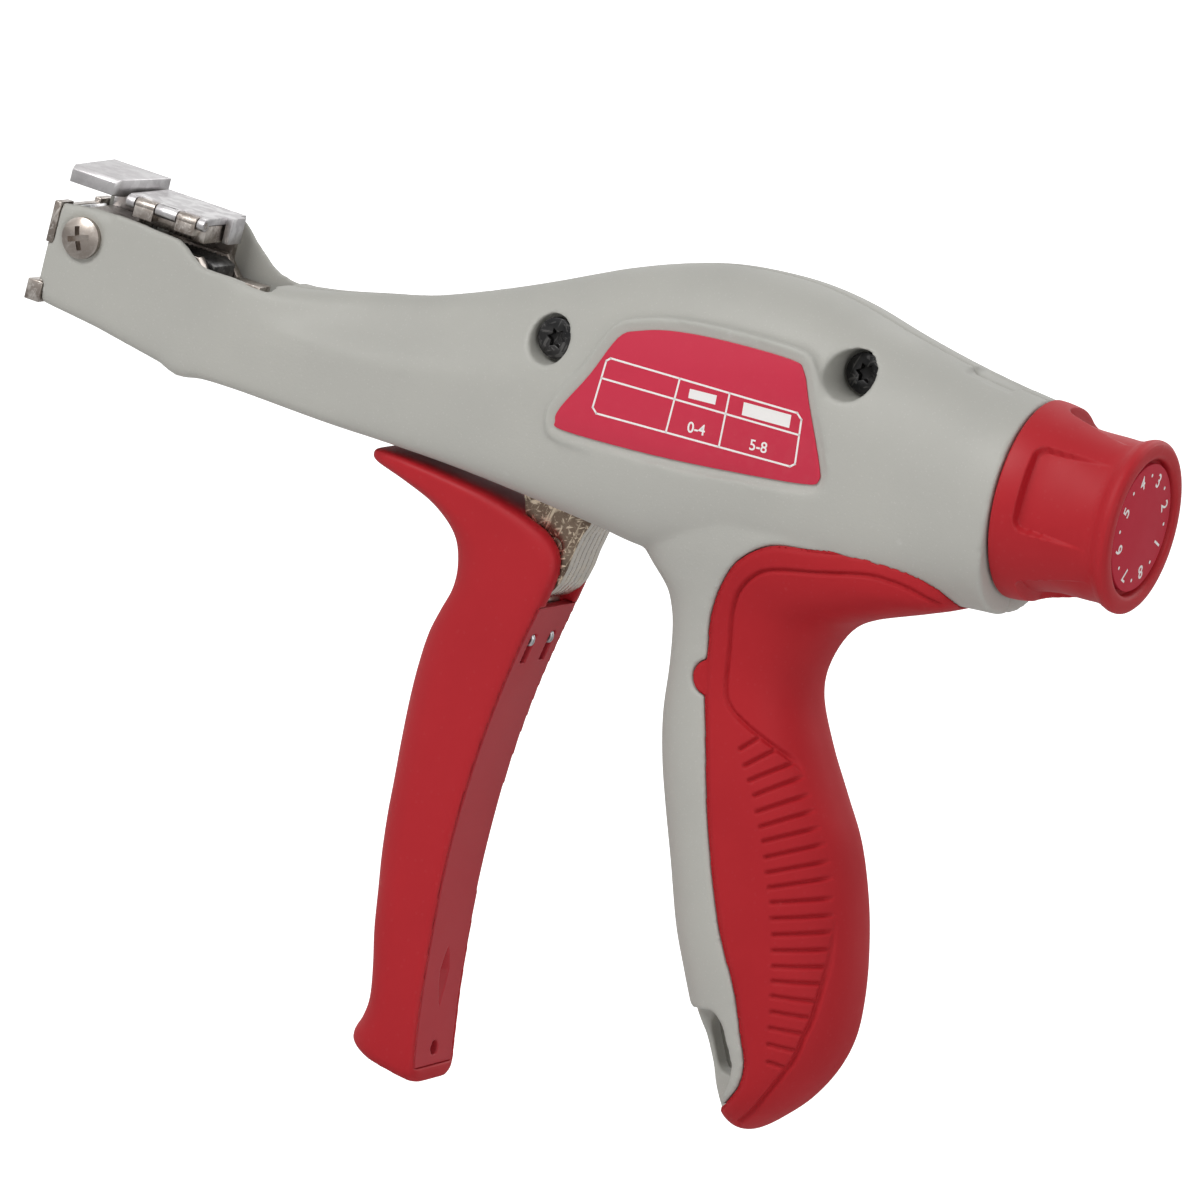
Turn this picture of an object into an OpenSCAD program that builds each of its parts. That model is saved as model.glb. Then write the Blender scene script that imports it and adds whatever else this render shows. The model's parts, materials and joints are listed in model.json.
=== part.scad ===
// Cable tie tensioning tool of the pistol kind, with a knob that sets the tension.
// The origin is the middle of the tie seat on the nose plate. +X runs back along the
// draw line, +Y points to the tool's right, +Z is up. Lengths are in millimetres.

/* [Body] */
// Length of the body from the tie seat to its rear face
barrel_len = 195.5; // [191:0.5:202]
// Height of the crest above the draw line
crest_h = 39.7; // [38.5:0.1:42]
// Depth of the underside below the draw line
belly_h = 11.6; // [11.2:0.1:12.6]
// Greatest width of the body
body_w = 37; // [36:0.5:41]
// Wall of the housing halves
wall = 2.2; // [1.8:0.1:2.4]
// Wall behind the rear bushing
rear_wall = 5.5; // [4.5:0.1:6.5]

/* [Nose] */
// Length of the nose up to the closed neck
nose_len = 48; // [47:0.5:50]
// Width of the nose
nose_w = 19.4; // [19:0.1:21]
// Width of the channel between the nose walls
channel_w = 15.8; // [15.6:0.1:16.2]
// Height of the far nose wall
horn_h = 16.6; // [16.2:0.1:18]
// Thickness of the nose plate
nose_plate_t = 1.4; // [1:0.1:1.6]
// Height of the throat's floor, where the tie lies
throat_z = 10.5; // [10:0.1:10.6]
// Clear height of the throat
throat_h = 4.6; // [4.5:0.1:5.2]
// Thickness of the head cover
head_cover_t = 3.2; // [2.6:0.1:4]
// Diameter of the nose screw's shank
nose_screw_d = 4; // [3:0.1:4.4]
// Diameter of the nose screw's head
nose_head_d = 7.6; // [7:0.1:8.4]

/* [Handle] */
// Drop of the handle below the underside
handle_drop = 97.6; // [92:0.2:106]
// Reach of the handle and its tail along the tool
handle_reach = 70; // [69:0.5:72]
// Width of the grip at the palm swell
handle_w = 29.2; // [27:0.2:32]
// Thickness of the rubber grip
rubber_t = 2.6; // [2:0.1:3.2]
// Width of the lanyard slot
lanyard_w = 5.6; // [5:0.1:6]
// Length of the lanyard slot
lanyard_len = 12.5; // [11:0.1:13.5]

/* [Trigger] */
// Drop of the trigger below the underside
trigger_drop = 110.4; // [104:0.2:118]
// Length of the trigger's top, horn included
trigger_span = 42.5; // [42:0.1:44]
// Width of the trigger
trigger_w = 17; // [16.4:0.1:19]
// Thickness of the trigger's rear insert
insert_t = 2; // [1.5:0.1:2.4]
// Squeeze of the trigger from rest to its stop, in degrees
squeeze = 18; // [14:0.5:18]

/* [Lever] */
// Number of stamped plates in the lever
plate_count = 6; // [6:2:6]
// Thickness of one stamped plate
plate_t = 1.75; // [1.6:0.05:1.78]
// Distance from the pivot down to the drawbar pin at mid stroke
lever_arm = 21; // [20:0.1:21.4]
// Outer diameter of the pivot sleeve
sleeve_d = 8; // [7:0.1:8.6]
// Diameter of the lever's rivets
rivet_d = 3.4; // [2.6:0.1:4]

/* [Draw train] */
// Thickness of the drawbar
drawbar_t = 3.4; // [3:0.1:3.5]
// Depth of the drawbar in the neck
drawbar_h = 6.6; // [5.6:0.1:7]
// Diameter of the drawbar pin
draw_pin_d = 4; // [3.4:0.1:4.2]
// Diameter of the pins in the gripper carriage
carriage_pin_d = 3; // [2.4:0.1:3.2]
// Pitch of the gripper's teeth
tooth_pitch = 1; // [0.8:0.05:1.2]

/* [Cut off] */
// Thickness of the cutter blade
blade_t = 1.3; // [1:0.1:1.5]
// Lift of the blade
blade_lift = 4.3; // [4:0.1:4.3]
// Thickness of the trip link
link_t = 1.2; // [1:0.1:1.2]
// Depth of the trip link
link_h = 3.2; // [2.8:0.1:3.4]

/* [Tension unit] */
// Diameter of the tension shaft
shaft_d = 8; // [7:0.1:8.4]
// Outer diameter of the tension spring
spring_d = 17; // [16:0.1:17.4]
// Diameter of the tension spring's wire
spring_wire_d = 2.6; // [2.2:0.1:3]
// Turns of the tension spring
spring_turns = 6; // [5:1:7]
// Travel of the tension nut for one setting of the knob
nut_step = 1; // [0.8:0.05:1]

/* [Knob] */
// Diameter of the knob's collar
knob_d = 35.6; // [35:0.1:36.2]
// Length of the knob
knob_len = 21.6; // [20:0.1:24]
// Diameter of the dial disc
dial_d = 23.2; // [22:0.1:24]
// Number of thumb recesses round the knob
thumb_recesses = 4; // [3:1:5]
// Upward tilt of the knob's axis, in degrees
knob_tilt = 3.5; // [3:0.1:4]

/* [Fits] */
// Clearance between pieces that move past each other
run_gap = 0.3; // [0.25:0.05:0.35]
// Radial clearance of a shaft or pin that turns in its hole
pin_gap = 0.05; // [0.03:0.01:0.06]
// Clearance round a piece that sits fixed in its seat
seat_gap = 0.05; // [0.03:0.01:0.1]

/* [Hidden] */
$fn = 48;

// Overrun of a cut past the face that it opens
over = body_w;
grey = [0.62, 0.62, 0.59];
red = [0.70, 0.08, 0.10];
steel = [0.55, 0.52, 0.49];
zinc = [0.70, 0.68, 0.67];
dark = [0.10, 0.10, 0.11];
spring_steel = [0.45, 0.46, 0.48];

// Smooth curves through tables: the first column rises, the others are read off it
function span_of(t, s, i = 0) =
  i >= len(t) - 2 || s < t[i + 1][0] ? i : span_of(t, s, i + 1);
function slope_at(t, c, i) =
  let (a = max(i - 1, 0), b = min(i + 1, len(t) - 1))
  (t[b][c] - t[a][c]) / (t[b][0] - t[a][0]);
function smooth_at(t, c, s) =
  let (
    i = span_of(t, s), h = t[i + 1][0] - t[i][0], u = (s - t[i][0]) / h,
    p = t[i][c], q = t[i + 1][c], mp = slope_at(t, c, i) * h, mq = slope_at(t, c, i + 1) * h
  )
  p + u * (mp + u * (3 * (q - p) - 2 * mp - mq + u * (2 * (p - q) + mp + mq)));
function row_at(t, s) = [for (c = [0:len(t[0]) - 1]) smooth_at(t, c, s)];

// A closed path made rounder: each stretch between two points is a smooth curve
function round_path(p, steps) =
  [for (i = [0:len(p) - 1], k = [0:steps - 1])
    let (
      n = len(p), a = p[(i + n - 1) % n], b = p[i], c = p[(i + 1) % n], d = p[(i + 2) % n],
      u = k / steps, m = (c - a) / 2, r = (d - b) / 2
    )
    b + u * (m + u * (3 * (c - b) - 2 * m - r + u * (2 * (b - c) + m + r)))];

// A section between two edge points in the side view. half is its half width, low and
// high say how square it is at each edge, mid where it is widest, waist how far its
// upper part draws in. inset moves the whole section inwards.
function easing(u) = let (v = min(max((u - 0.1) / 0.6, 0), 1)) v * v * (3 - 2 * v);
function signed_pow(v, n) = sign(v) * pow(abs(v), 2 / n);
function section(a, b, half, low, high, mid, waist, points, inset = 0) =
  let (l = norm(b - a), d = (b - a) / l, w = half - inset, r = l - 2 * inset)
  [for (k = [0:points - 1])
    let (
      t = 360 * k / points, n = cos(t) > 0 ? low : high,
      c = -signed_pow(cos(t), n), y = w * signed_pow(sin(t), n),
      s = inset + r * (mid + c * (c < 0 ? mid : 1 - mid)), e = a + d * s
    )
    [e[0], y * (1 - waist * easing(c)), e[1]]];

// A solid through a list of sections that all have the same number of points
module loft(sections) {
  n = len(sections);
  m = len(sections[0]);
  polyhedron(
    points = [for (s = sections, p = s) p],
    faces = concat(
      [for (k = [1:m - 2]) [0, k, k + 1]],
      [for (k = [1:m - 2]) [(n - 1) * m, (n - 1) * m + k + 1, (n - 1) * m + k]],
      [for (i = [0:n - 2], k = [0:m - 1])
        [i * m + k, (i + 1) * m + (k + 1) % m, i * m + (k + 1) % m]],
      [for (i = [0:n - 2], k = [0:m - 1])
        [i * m + k, (i + 1) * m + k, (i + 1) * m + (k + 1) % m]]
    )
  );
}

// A side view outline given a thickness across the tool, centred on y
module across(t, y = 0) {
  translate([0, y + t / 2, 0]) rotate([90, 0, 0]) linear_extrude(t) children();
}
// The same between two places across the tool
module between(y0, y1) {
  translate([0, y1, 0]) rotate([90, 0, 0]) linear_extrude(y1 - y0) children();
}
module block(low, high) {
  translate(low) cube(high - low);
}
module helix(r, wire, turns, length, per_turn, sides) {
  steps = turns * per_turn;
  pitch = (length - wire) / turns;
  lead = atan(pitch / (2 * PI * r));
  loft([for (i = [0:steps])
    let (a = 360 * i / per_turn)
    [for (k = [0:sides - 1])
      let (
        b = -360 * k / sides, u = wire / 2 * cos(b), v = wire / 2 * sin(b),
        side = -v * sin(lead)
      )
      [wire / 2 + pitch * i / per_turn + v * cos(lead),
       (r + u) * cos(a) - side * sin(a),
       (r + u) * sin(a) + side * cos(a)]]]);
}

// Body form: the nose rows are shares of nose_len, belly_h, horn_h and nose_w / 2
nose_shares = [
  [0.004, 0.672, 0.747, 0.990, 9, 9, 0.5, 0],
  [0.208, 0.759, 0.747, 0.995, 9, 9, 0.5, 0],
  [0.256, 0.784, 0.753, 0.995, 9, 9, 0.5, 0],
  [0.269, 0.790, 1.000, 0.995, 9, 9, 0.5, 0],
  [0.417, 0.888, 1.000, 1.000, 9, 9, 0.5, 0],
  [0.573, 0.991, 0.994, 1.000, 9, 9, 0.5, 0],
  [0.609, 1.050, 0.965, 1.003, 9, 8, 0.5, 0],
  [0.646, 1.095, 0.900, 1.005, 9, 7, 0.5, 0],
  [0.690, 1.080, 0.790, 1.010, 9, 6, 0.5, 0],
  [0.723, 1.040, 0.700, 1.015, 9, 7, 0.5, 0],
  [0.770, 1.010, 0.590, 1.020, 9, 7, 0.5, 0.01],
  [0.815, 1.000, 0.525, 1.025, 9, 7, 0.5, 0.02],
  [0.860, 0.995, 0.510, 1.035, 9, 6.5, 0.5, 0.04],
  [0.920, 0.990, 0.515, 1.040, 9, 6, 0.5, 0.07]
];
// The body rows are shares of the body's run, belly_h, crest_h and body_w / 2
body_shares = [
  [0.00, 0.99, 0.222, 0.551, 9.0, 5.0, 0.50, 0.12],
  [0.05, 1.00, 0.262, 0.557, 9.0, 3.6, 0.50, 0.24],
  [0.11, 1.01, 0.320, 0.568, 8.0, 2.8, 0.48, 0.34],
  [0.17, 1.00, 0.378, 0.589, 7.0, 2.6, 0.46, 0.34],
  [0.22, 0.99, 0.448, 0.616, 6.0, 2.5, 0.45, 0.30],
  [0.27, 0.98, 0.526, 0.660, 5.5, 2.4, 0.44, 0.24],
  [0.33, 0.98, 0.627, 0.724, 5.0, 2.4, 0.44, 0.16],
  [0.38, 0.98, 0.718, 0.784, 4.6, 2.4, 0.44, 0.10],
  [0.43, 0.99, 0.806, 0.843, 4.3, 2.4, 0.45, 0.05],
  [0.49, 1.00, 0.892, 0.903, 4.0, 2.4, 0.46, 0.02],
  [0.55, 1.00, 0.957, 0.946, 3.8, 2.4, 0.48, 0],
  [0.61, 0.97, 0.990, 0.973, 3.6, 2.4, 0.50, 0],
  [0.67, 0.92, 1.000, 0.989, 3.4, 2.4, 0.50, 0],
  [0.73, 0.86, 0.977, 1.000, 3.3, 2.4, 0.50, 0],
  [0.80, 0.77, 0.924, 1.000, 3.1, 2.3, 0.50, 0],
  [0.87, 0.66, 0.879, 0.995, 2.9, 2.25, 0.50, 0],
  [0.94, 0.55, 0.849, 0.985, 2.6, 2.15, 0.50, 0],
  [1.00, 0.47, 0.831, 0.973, 2.4, 2.1, 0.50, 0],
  [1.03, 0.44, 0.824, 0.968, 2.4, 2.1, 0.50, 0]
];
body_run = barrel_len - nose_len;
body_rings = 24;
body_points = 20;
function run_x(s) = nose_len + s * body_run;
function nose_section(r, inset) =
  section([r[0] * nose_len, -r[1] * belly_h], [r[0] * nose_len, r[2] * horn_h],
    r[3] * nose_w / 2, r[4], r[5], r[6], r[7], body_points, inset);
function body_section(s, inset, points = body_points) =
  let (r = row_at(body_shares, s))
  section([run_x(s), -r[1] * belly_h], [run_x(s), r[2] * crest_h],
    r[3] * body_w / 2, r[4], r[5], r[6], r[7], points, inset);
bay_rings = 13;
bay_points = 16;
body_stations = [for (i = [0:body_rings]) 1.03 * i / body_rings];

// Handle form: front x, front z, rear x, rear z, half width, squareness front and rear
handle_shares = [
  [0, -0.020, -0.180, 0.900, -0.175, 1.02, 2.6, 5.0],
  [1, -0.015, -0.129, 0.960, -0.129, 1.10, 2.6, 5.0],
  [2, -0.005, -0.088, 0.985, -0.088, 1.15, 2.6, 5.0],
  [3, 0.008, -0.060, 0.978, -0.058, 1.15, 2.6, 4.5],
  [4, 0.032, -0.027, 0.900, -0.029, 1.11, 2.6, 3.5],
  [5, 0.075, 0.025, 0.739, 0.023, 1.03, 2.7, 2.8],
  [6, 0.146, 0.071, 0.658, 0.066, 0.973, 2.8, 2.4],
  [7, 0.192, 0.127, 0.618, 0.137, 0.925, 2.8, 2.3],
  [8, 0.218, 0.209, 0.622, 0.204, 0.904, 2.8, 2.3],
  [9, 0.238, 0.301, 0.682, 0.286, 0.925, 2.8, 2.3],
  [10, 0.268, 0.383, 0.754, 0.363, 0.960, 2.8, 2.3],
  [11, 0.308, 0.460, 0.825, 0.440, 0.986, 2.8, 2.3],
  [12, 0.361, 0.557, 0.882, 0.537, 1.000, 2.8, 2.3],
  [13, 0.415, 0.660, 0.918, 0.629, 1.000, 2.8, 2.3],
  [14, 0.461, 0.730, 0.938, 0.711, 0.973, 2.7, 2.3],
  [15, 0.521, 0.810, 0.941, 0.783, 0.930, 2.6, 2.3],
  [16, 0.568, 0.849, 0.918, 0.849, 0.877, 2.5, 2.3],
  [17, 0.611, 0.895, 0.872, 0.911, 0.790, 2.4, 2.3],
  [18, 0.639, 0.931, 0.818, 0.957, 0.670, 2.3, 2.3],
  [19, 0.664, 0.962, 0.768, 0.990, 0.480, 2.2, 2.2],
  [20, 0.689, 0.986, 0.726, 1.000, 0.200, 2.0, 2.0]
];
handle_x = run_x(0.5);
handle_points = 18;
handle_step = 1;
handle_last = len(handle_shares) - 1;
// The housing's own core under the rubber: a flat spine, as shares of the handle
core_w = 0.62;
core_shares = [
  [0.10, -0.05], [0.16, 0.02], [0.215, 0.08], [0.265, 0.16], [0.290, 0.24], [0.330, 0.34],
  [0.390, 0.45], [0.470, 0.58], [0.545, 0.70], [0.600, 0.80], [0.640, 0.87], [0.720, 0.91],
  [0.800, 0.87], [0.840, 0.76], [0.825, 0.64], [0.780, 0.54], [0.690, 0.42], [0.600, 0.30],
  [0.560, 0.20], [0.560, 0.10], [0.640, 0.03], [0.700, -0.05]
];
function handle_at(p) = [handle_x + p[0] * handle_reach, -belly_h - p[1] * handle_drop];
function handle_section(s, inset) =
  let (r = row_at(handle_shares, s))
  section(handle_at([r[1], r[2]]), handle_at([r[3], r[4]]), r[5] * handle_w / 2,
    r[6], r[7], 0.5, 0, handle_points, inset);

// The grip's edge in the side view, as shares of the handle
grip_edge_shares = [
  [0.386, 0.023], [0.371, 0.088], [0.381, 0.145], [0.394, 0.203], [0.412, 0.250],
  [0.444, 0.321], [0.479, 0.398], [0.524, 0.489], [0.595, 0.609], [0.638, 0.667],
  [0.681, 0.732], [0.718, 0.808], [0.738, 0.857], [0.731, 0.901], [0.706, 0.942],
  [0.686, 0.972], [0.675, 1.060], [1.190, 1.060], [1.190, -0.109], [1.032, -0.089],
  [0.928, -0.119], [0.838, -0.132], [0.764, -0.128], [0.618, -0.098],
  [0.505, -0.079], [0.425, -0.034]
];
grip_bump_share = [0.406, 0.199];
grip_bump_r = 3.4;
grip_seam = 0.25;

// Trigger form: front x, front z, rear x, rear z, half width, squareness at the rear
trigger_shares = [
  [0, -0.760, 0.035, -0.758, 0.0240, 0.45, 4],
  [1, -0.701, 0.043, -0.713, 0.0145, 0.80, 6],
  [2, -0.555, 0.057, -0.560, 0.0127, 0.98, 8],
  [3, -0.405, 0.080, -0.360, 0.0163, 1.00, 8],
  [4, -0.296, 0.117, -0.148, 0.0236, 1.00, 8],
  [5, -0.261, 0.162, 0.052, 0.0400, 1.00, 8],
  [6, -0.264, 0.203, 0.181, 0.0625, 1.00, 8],
  [7, -0.296, 0.241, 0.240, 0.1030, 1.00, 9],
  [8, -0.325, 0.284, 0.216, 0.1670, 1.00, 10],
  [9, -0.336, 0.339, 0.174, 0.2390, 1.00, 12],
  [10, -0.336, 0.398, 0.136, 0.3210, 0.99, 12],
  [11, -0.327, 0.466, 0.106, 0.4110, 0.98, 12],
  [12, -0.315, 0.529, 0.089, 0.4930, 0.97, 12],
  [13, -0.304, 0.592, 0.080, 0.5740, 0.97, 12],
  [14, -0.285, 0.656, 0.082, 0.6510, 0.97, 12],
  [15, -0.261, 0.710, 0.092, 0.7190, 0.98, 12],
  [16, -0.233, 0.774, 0.106, 0.7920, 0.99, 12],
  [17, -0.193, 0.837, 0.122, 0.8600, 1.00, 12],
  [18, -0.172, 0.887, 0.139, 0.9090, 1.01, 12],
  [19, -0.184, 0.922, 0.153, 0.9460, 1.01, 12],
  [20, -0.209, 0.948, 0.167, 0.9710, 1.00, 10],
  [21, -0.200, 0.966, 0.174, 0.9870, 0.96, 6],
  [22, -0.125, 0.985, 0.169, 1.0000, 0.80, 4]
];
trigger_points = 22;
trigger_step = 0.6;
trigger_last = len(trigger_shares) - 1;
pivot = [run_x(0.3783), 0.428 * crest_h];
function trigger_at(p) = [pivot[0] + p[0] * trigger_span, -belly_h - p[1] * trigger_drop];
function trigger_front(s) = let (r = row_at(trigger_shares, s)) trigger_at([r[1], r[2]]);
function trigger_rear(s) = let (r = row_at(trigger_shares, s)) trigger_at([r[3], r[4]]);
function trigger_section(s) =
  let (r = row_at(trigger_shares, s))
  section(trigger_front(s), trigger_rear(s), r[5] * trigger_w / 2, 2.3, r[6], 0.5, 0,
    trigger_points);

// Lever stack and its drawbar pin
plate_gap = 0.1;
stack_w = plate_count * plate_t + (plate_count - 1) * plate_gap;
draw_z = pivot[1] - lever_arm;
stroke = 2 * lever_arm * tan(squeeze / 2);
draw_x = pivot[0] - stroke / 2;
pin_r_rest = lever_arm / cos(squeeze / 2);
eye_r = 0.355 * lever_arm;
// Lever outline from the pivot, as shares of the lever arm, down to the belly
lever_shares = [
  [-0.352, 0.00], [-0.405, -0.40], [-0.425, -0.80], [-0.385, -1.09], [-0.215, -1.195],
  [-0.085, -1.245], [-0.040, -1.36], [0.000, -1.46], [0.09, -1.72], [0.14, -2.16],
  [0.21, -2.45], [0.45, -2.45], [0.50, -2.16], [0.555, -1.88], [0.638, -1.59],
  [0.705, -1.33], [0.620, -0.86], [0.500, -0.38], [0.352, 0.00]
];
rivet_shares = [[0.36, -0.62], [0.36, -1.75], [0.31, -2.28]];
// Notch in the middle plates for the drawbar's end
notch_shares = [[-0.60, -1.30], [0.14, -1.30], [0.14, -0.62], [-0.60, -0.62]];
boss_face = stack_w / 2 + run_gap;

// Nose pieces
screw_at = [0.148 * nose_len, 0.373 * horn_h];
cover_z = throat_z + throat_h;
block_rear_x = 0.258 * nose_len;
block_bottom_z = 0.157 * horn_h;
far_face = 0.775 * channel_w / 2;
channel_shares = [
  [-0.10, -0.545], [0.25, -0.63], [0.56, -0.793], [1.26, -0.81], [1.26, 0.20],
  [1.10, 0.20], [1.10, 0.27], [0.955, 0.27], [0.92, 2.50], [-0.10, 2.50]
];
bar_slot_shares = [[0.90, 0], [1.26, 0], [1.26, 0.52], [0.90, 0.52]];
near_wall_shares = [
  [-0.10, 0.675], [0.0375, 0.675], [0.208, 0.747], [0.35, 0.729], [0.48, 0.712],
  [0.55, 0.693], [0.585, 0.640], [0.62, 0.560], [0.67, 0.488], [0.74, 0.485],
  [0.865, 0.506], [1.04, 0.584], [1.04, 3], [-0.10, 3]
];

// Gripper: jaw frame over the tie, carriage and pawl under it
jaw_x0 = 0.321 * nose_len;
jaw_x1 = 0.610 * nose_len;
jaw_bottom_z = throat_z + 1.1;
carriage_top_z = throat_z - 1.3;
carriage_x0 = 0.317 * nose_len;
carriage_pin_at = [0.746 * nose_len, 0.29 * belly_h];
pawl_pin_at = [0.617 * nose_len, 0.40 * belly_h];
cover_x0 = 0.277 * nose_len;
cover_x1 = 0.619 * nose_len;
cover_plate_t = 1.3;
hinge_pin_d = 1.2;
hinge_barrel_d = 2.3;
hinge_y = -0.886 * channel_w / 2;
hinge_z = cover_z;
knuckle_shares = [[0.12, 0.36], [0.66, 0.90]];

// Cut off train
blade_x0 = nose_plate_t + run_gap;
blade_x1 = blade_x0 + blade_t;
cutter_at = [0.246 * nose_len, -0.103 * belly_h];
cutter_arm = cutter_at[0] - (blade_x0 + blade_x1) / 2;
cutter_swing = 2 * asin(blade_lift / (2 * cutter_arm));
link_arm = 0.36 * belly_h;
link_travel = 2 * link_arm * sin(cutter_swing / 2);
tip_r = 0.7;
tip_z = cutter_at[1] - cutter_arm * sin(cutter_swing / 2);
link_pin_at = cutter_at + link_arm * [sin(cutter_swing / 2), -cos(cutter_swing / 2)];
link_y = stack_w / 2 + 0.8;
link_pin_d = 2;
cutter_pin_d = 2.6;

// Tension unit, placed along the knob's axis from the body's rear face
knob_at = [barrel_len, 0, 0.393 * crest_h];
hub_gap = 0.4;
yoke_t = 3;
bushing_d = 1.5 * shaft_d;
flange_d = 2.25 * shaft_d;
flange_t = 4.2;
yoke_x = -rear_wall - flange_t - run_gap - yoke_t;
spring_x = -49;
spring_len = yoke_x - spring_x;
nut_t = 9;
shaft_front_x = -64;
guide_reach = 0.735 * spring_d;
guide_h = 5;
settings_below = 2;
settings_above = 5;
link_rear_at = [-11.5, -12.5];

// Screws that join the halves
house_screw_d = 4;
house_head_d = 7.4;
house_recess_d = 8.9;
house_head_h = 2.2;
rear_screw_at = [run_x(0.778), 0.725 * crest_h];
pivot_seat_y = boss_face + 1.4;
rear_seat_y = 6.4;

module at_knob() {
  translate(knob_at) rotate([0, -knob_tilt, 0]) children();
}
// A round piece along the knob's axis between two places
module turned(d, x0, x1) {
  translate([x0, 0, 0]) rotate([0, 90, 0]) cylinder(d = d, h = x1 - x0);
}

module barrel_form() {
  loft(concat(
    [for (r = nose_shares) nose_section(r, 0)],
    [for (s = body_stations) body_section(s, 0)]
  ));
}
module handle_form(inset = 0, last = handle_last) {
  loft([for (s = [0:handle_step:last]) handle_section(s, inset)]);
}
module handle_core() {
  across(core_w * handle_w) polygon([for (p = core_shares) handle_at(p)]);
}
module grip_outline() {
  polygon([for (p = grip_edge_shares) handle_at(p)]);
  translate(handle_at(grip_bump_share)) circle(r = grip_bump_r, $fn = 16);
}
module behind_rear_face() {
  at_knob() block([0, -over, -over], [over, over, over]);
}

// Room for the mechanism, with the bosses and nut guides left standing in it
module mechanism_bay() {
  difference() {
    loft([for (i = [0:bay_rings]) body_section(0.07 + 0.91 * i / bay_rings, wall, bay_points)]);
    at_knob() block([-rear_wall, -over, -over], [over, over, over]);
    for (side = [-1, 1]) {
      between(min(side * boss_face, side * over), max(side * boss_face, side * over))
        translate(pivot) circle(d = house_recess_d + 2 * wall);
      at_knob() for (up = [-1, 1]) {
        z = up * (guide_h / 2 + run_gap);
        translate([
          spring_x - nut_t - settings_below * nut_step - wall,
          side > 0 ? spring_d / 2 + wall : -over,
          up > 0 ? z : z - wall
        ]) cube([nut_t + (settings_below + settings_above) * nut_step + 2 * wall,
          over - spring_d / 2 - wall, wall]);
      }
    }
    across(2 * over) translate(rear_screw_at) circle(d = house_recess_d + wall);
    between(-over, -0.2 * nose_w) translate(spring_post_at) circle(d = spring_post_d);
  }
  across(2 * boss_face) translate(pivot) circle(r = eye_r + run_gap);
}
spring_post_at = [nose_len + 0.075 * body_run, draw_z];
spring_post_d = 3;

module nose_channel() {
  across(channel_w) polygon([for (p = channel_shares) [p[0] * nose_len, p[1] * belly_h]]);
  across(drawbar_t + 2 * run_gap)
    polygon([for (p = bar_slot_shares) [p[0] * nose_len, p[1] * belly_h]]);
}
module lever_slot() {
  x0 = pivot[0] - 0.18 * lever_arm;
  x1 = pivot[0] + 1.145 * lever_arm;
  block([x0, -stack_w / 2 - run_gap, -1.35 * belly_h],
    [x1, stack_w / 2 + run_gap, -0.7 * belly_h]);
}
module lanyard_slot() {
  slant = 27;
  across(2 * over) translate(handle_at([0.620, 0.850])) rotate(slant) {
    square([lanyard_w, lanyard_len - lanyard_w], center = true);
    for (s = [-1, 1]) translate([0, s * (lanyard_len - lanyard_w) / 2]) circle(d = lanyard_w);
  }
}
// Room for the nose plate: it shows at the sides above and below, not in the middle
module nose_plate_room() {
  x1 = nose_plate_t + seat_gap;
  block([-over, -over, 0.30 * belly_h], [x1, over, over]);
  block([-over, -over, -over], [x1, over, -0.33 * belly_h]);
  block([-over, -nose_tongue_w / 2 - seat_gap, -over], [x1, nose_tongue_w / 2 + seat_gap, over]);
}
nose_tongue_w = 0.89 * nose_w;

// Index recess in the crest, just ahead of the knob
module index_recess() {
  at_knob() translate([-17.5, -3.2, 18.4]) cube([9, 6.4, over]);
}
label_yaw = 1.8;
label_t = 0.4;
label_margin = 1.4;
label_rim = 0.9;
label_pad_t = 0.13 * body_w;
label_y = 0.465 * body_w;
module label_outline() {
  polygon(round_path([for (p = label_face_shares) [run_x(p[0]), p[1] * crest_h]], 3));
}
label_face_shares = [
  [0.425, 0.110], [0.440, 0.080], [0.560, 0.110], [0.680, 0.165], [0.765, 0.215],
  [0.782, 0.250], [0.776, 0.330], [0.745, 0.560], [0.728, 0.690], [0.708, 0.722],
  [0.620, 0.705], [0.550, 0.670], [0.505, 0.620], [0.480, 0.560], [0.455, 0.360],
  [0.428, 0.180]
];
module at_label() {
  translate([run_x(0.6), -label_y, 0]) rotate([0, 0, -label_yaw]) translate([-run_x(0.6), 0, 0])
    children();
}

// The lofted pieces are joined as one mesh: a resize by nothing keeps them as they are
module housing_form() {
  difference() {
    resize([0, 0, 0]) union() {
      barrel_form();
      difference() {
        handle_form();
        across(2 * over) grip_outline();
      }
      handle_core();
      at_label() between(0, label_pad_t) offset(delta = label_margin + label_rim) label_outline();
    }
    behind_rear_face();
    mechanism_bay();
    nose_channel();
    lever_slot();
    lanyard_slot();
    nose_plate_room();
    index_recess();
    at_knob() turned(bushing_d, -over, over);
    across(2 * over) translate(screw_at) circle(d = nose_screw_d + 2 * pin_gap);
    across(0.93 * nose_w) translate(cutter_at) circle(d = cutter_pin_d);
  }
}

module housing_left() {
  color(grey) difference() {
    housing_form();
    between(0, over) square(20 * over, center = true);
    across(2 * over) polygon([for (p = near_wall_shares) [p[0] * nose_len, p[1] * horn_h]]);
    for (s = [[pivot, pivot_seat_y], [rear_screw_at, rear_seat_y]]) {
      between(-over, over) translate(s[0]) circle(d = house_screw_d + 2 * seat_gap);
      between(-over, -s[1]) translate(s[0]) circle(d = house_recess_d);
    }
    between(-over, -0.47 * nose_w) translate(screw_at) circle(d = nose_head_d + 4 * run_gap);
    at_label() between(-over, label_t) offset(delta = label_margin) label_outline();
  }
}

module housing_right() {
  color(grey) difference() {
    housing_form();
    between(-over, 0) square(20 * over, center = true);
    for (s = [pivot, rear_screw_at])
      between(-over, 0.26 * body_w) translate(s) circle(d = house_screw_d + 2 * seat_gap);
    between(0.45 * nose_w, over) translate(screw_at) circle(d = nose_head_d + 4 * run_gap, $fn = 6);
  }
}

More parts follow.
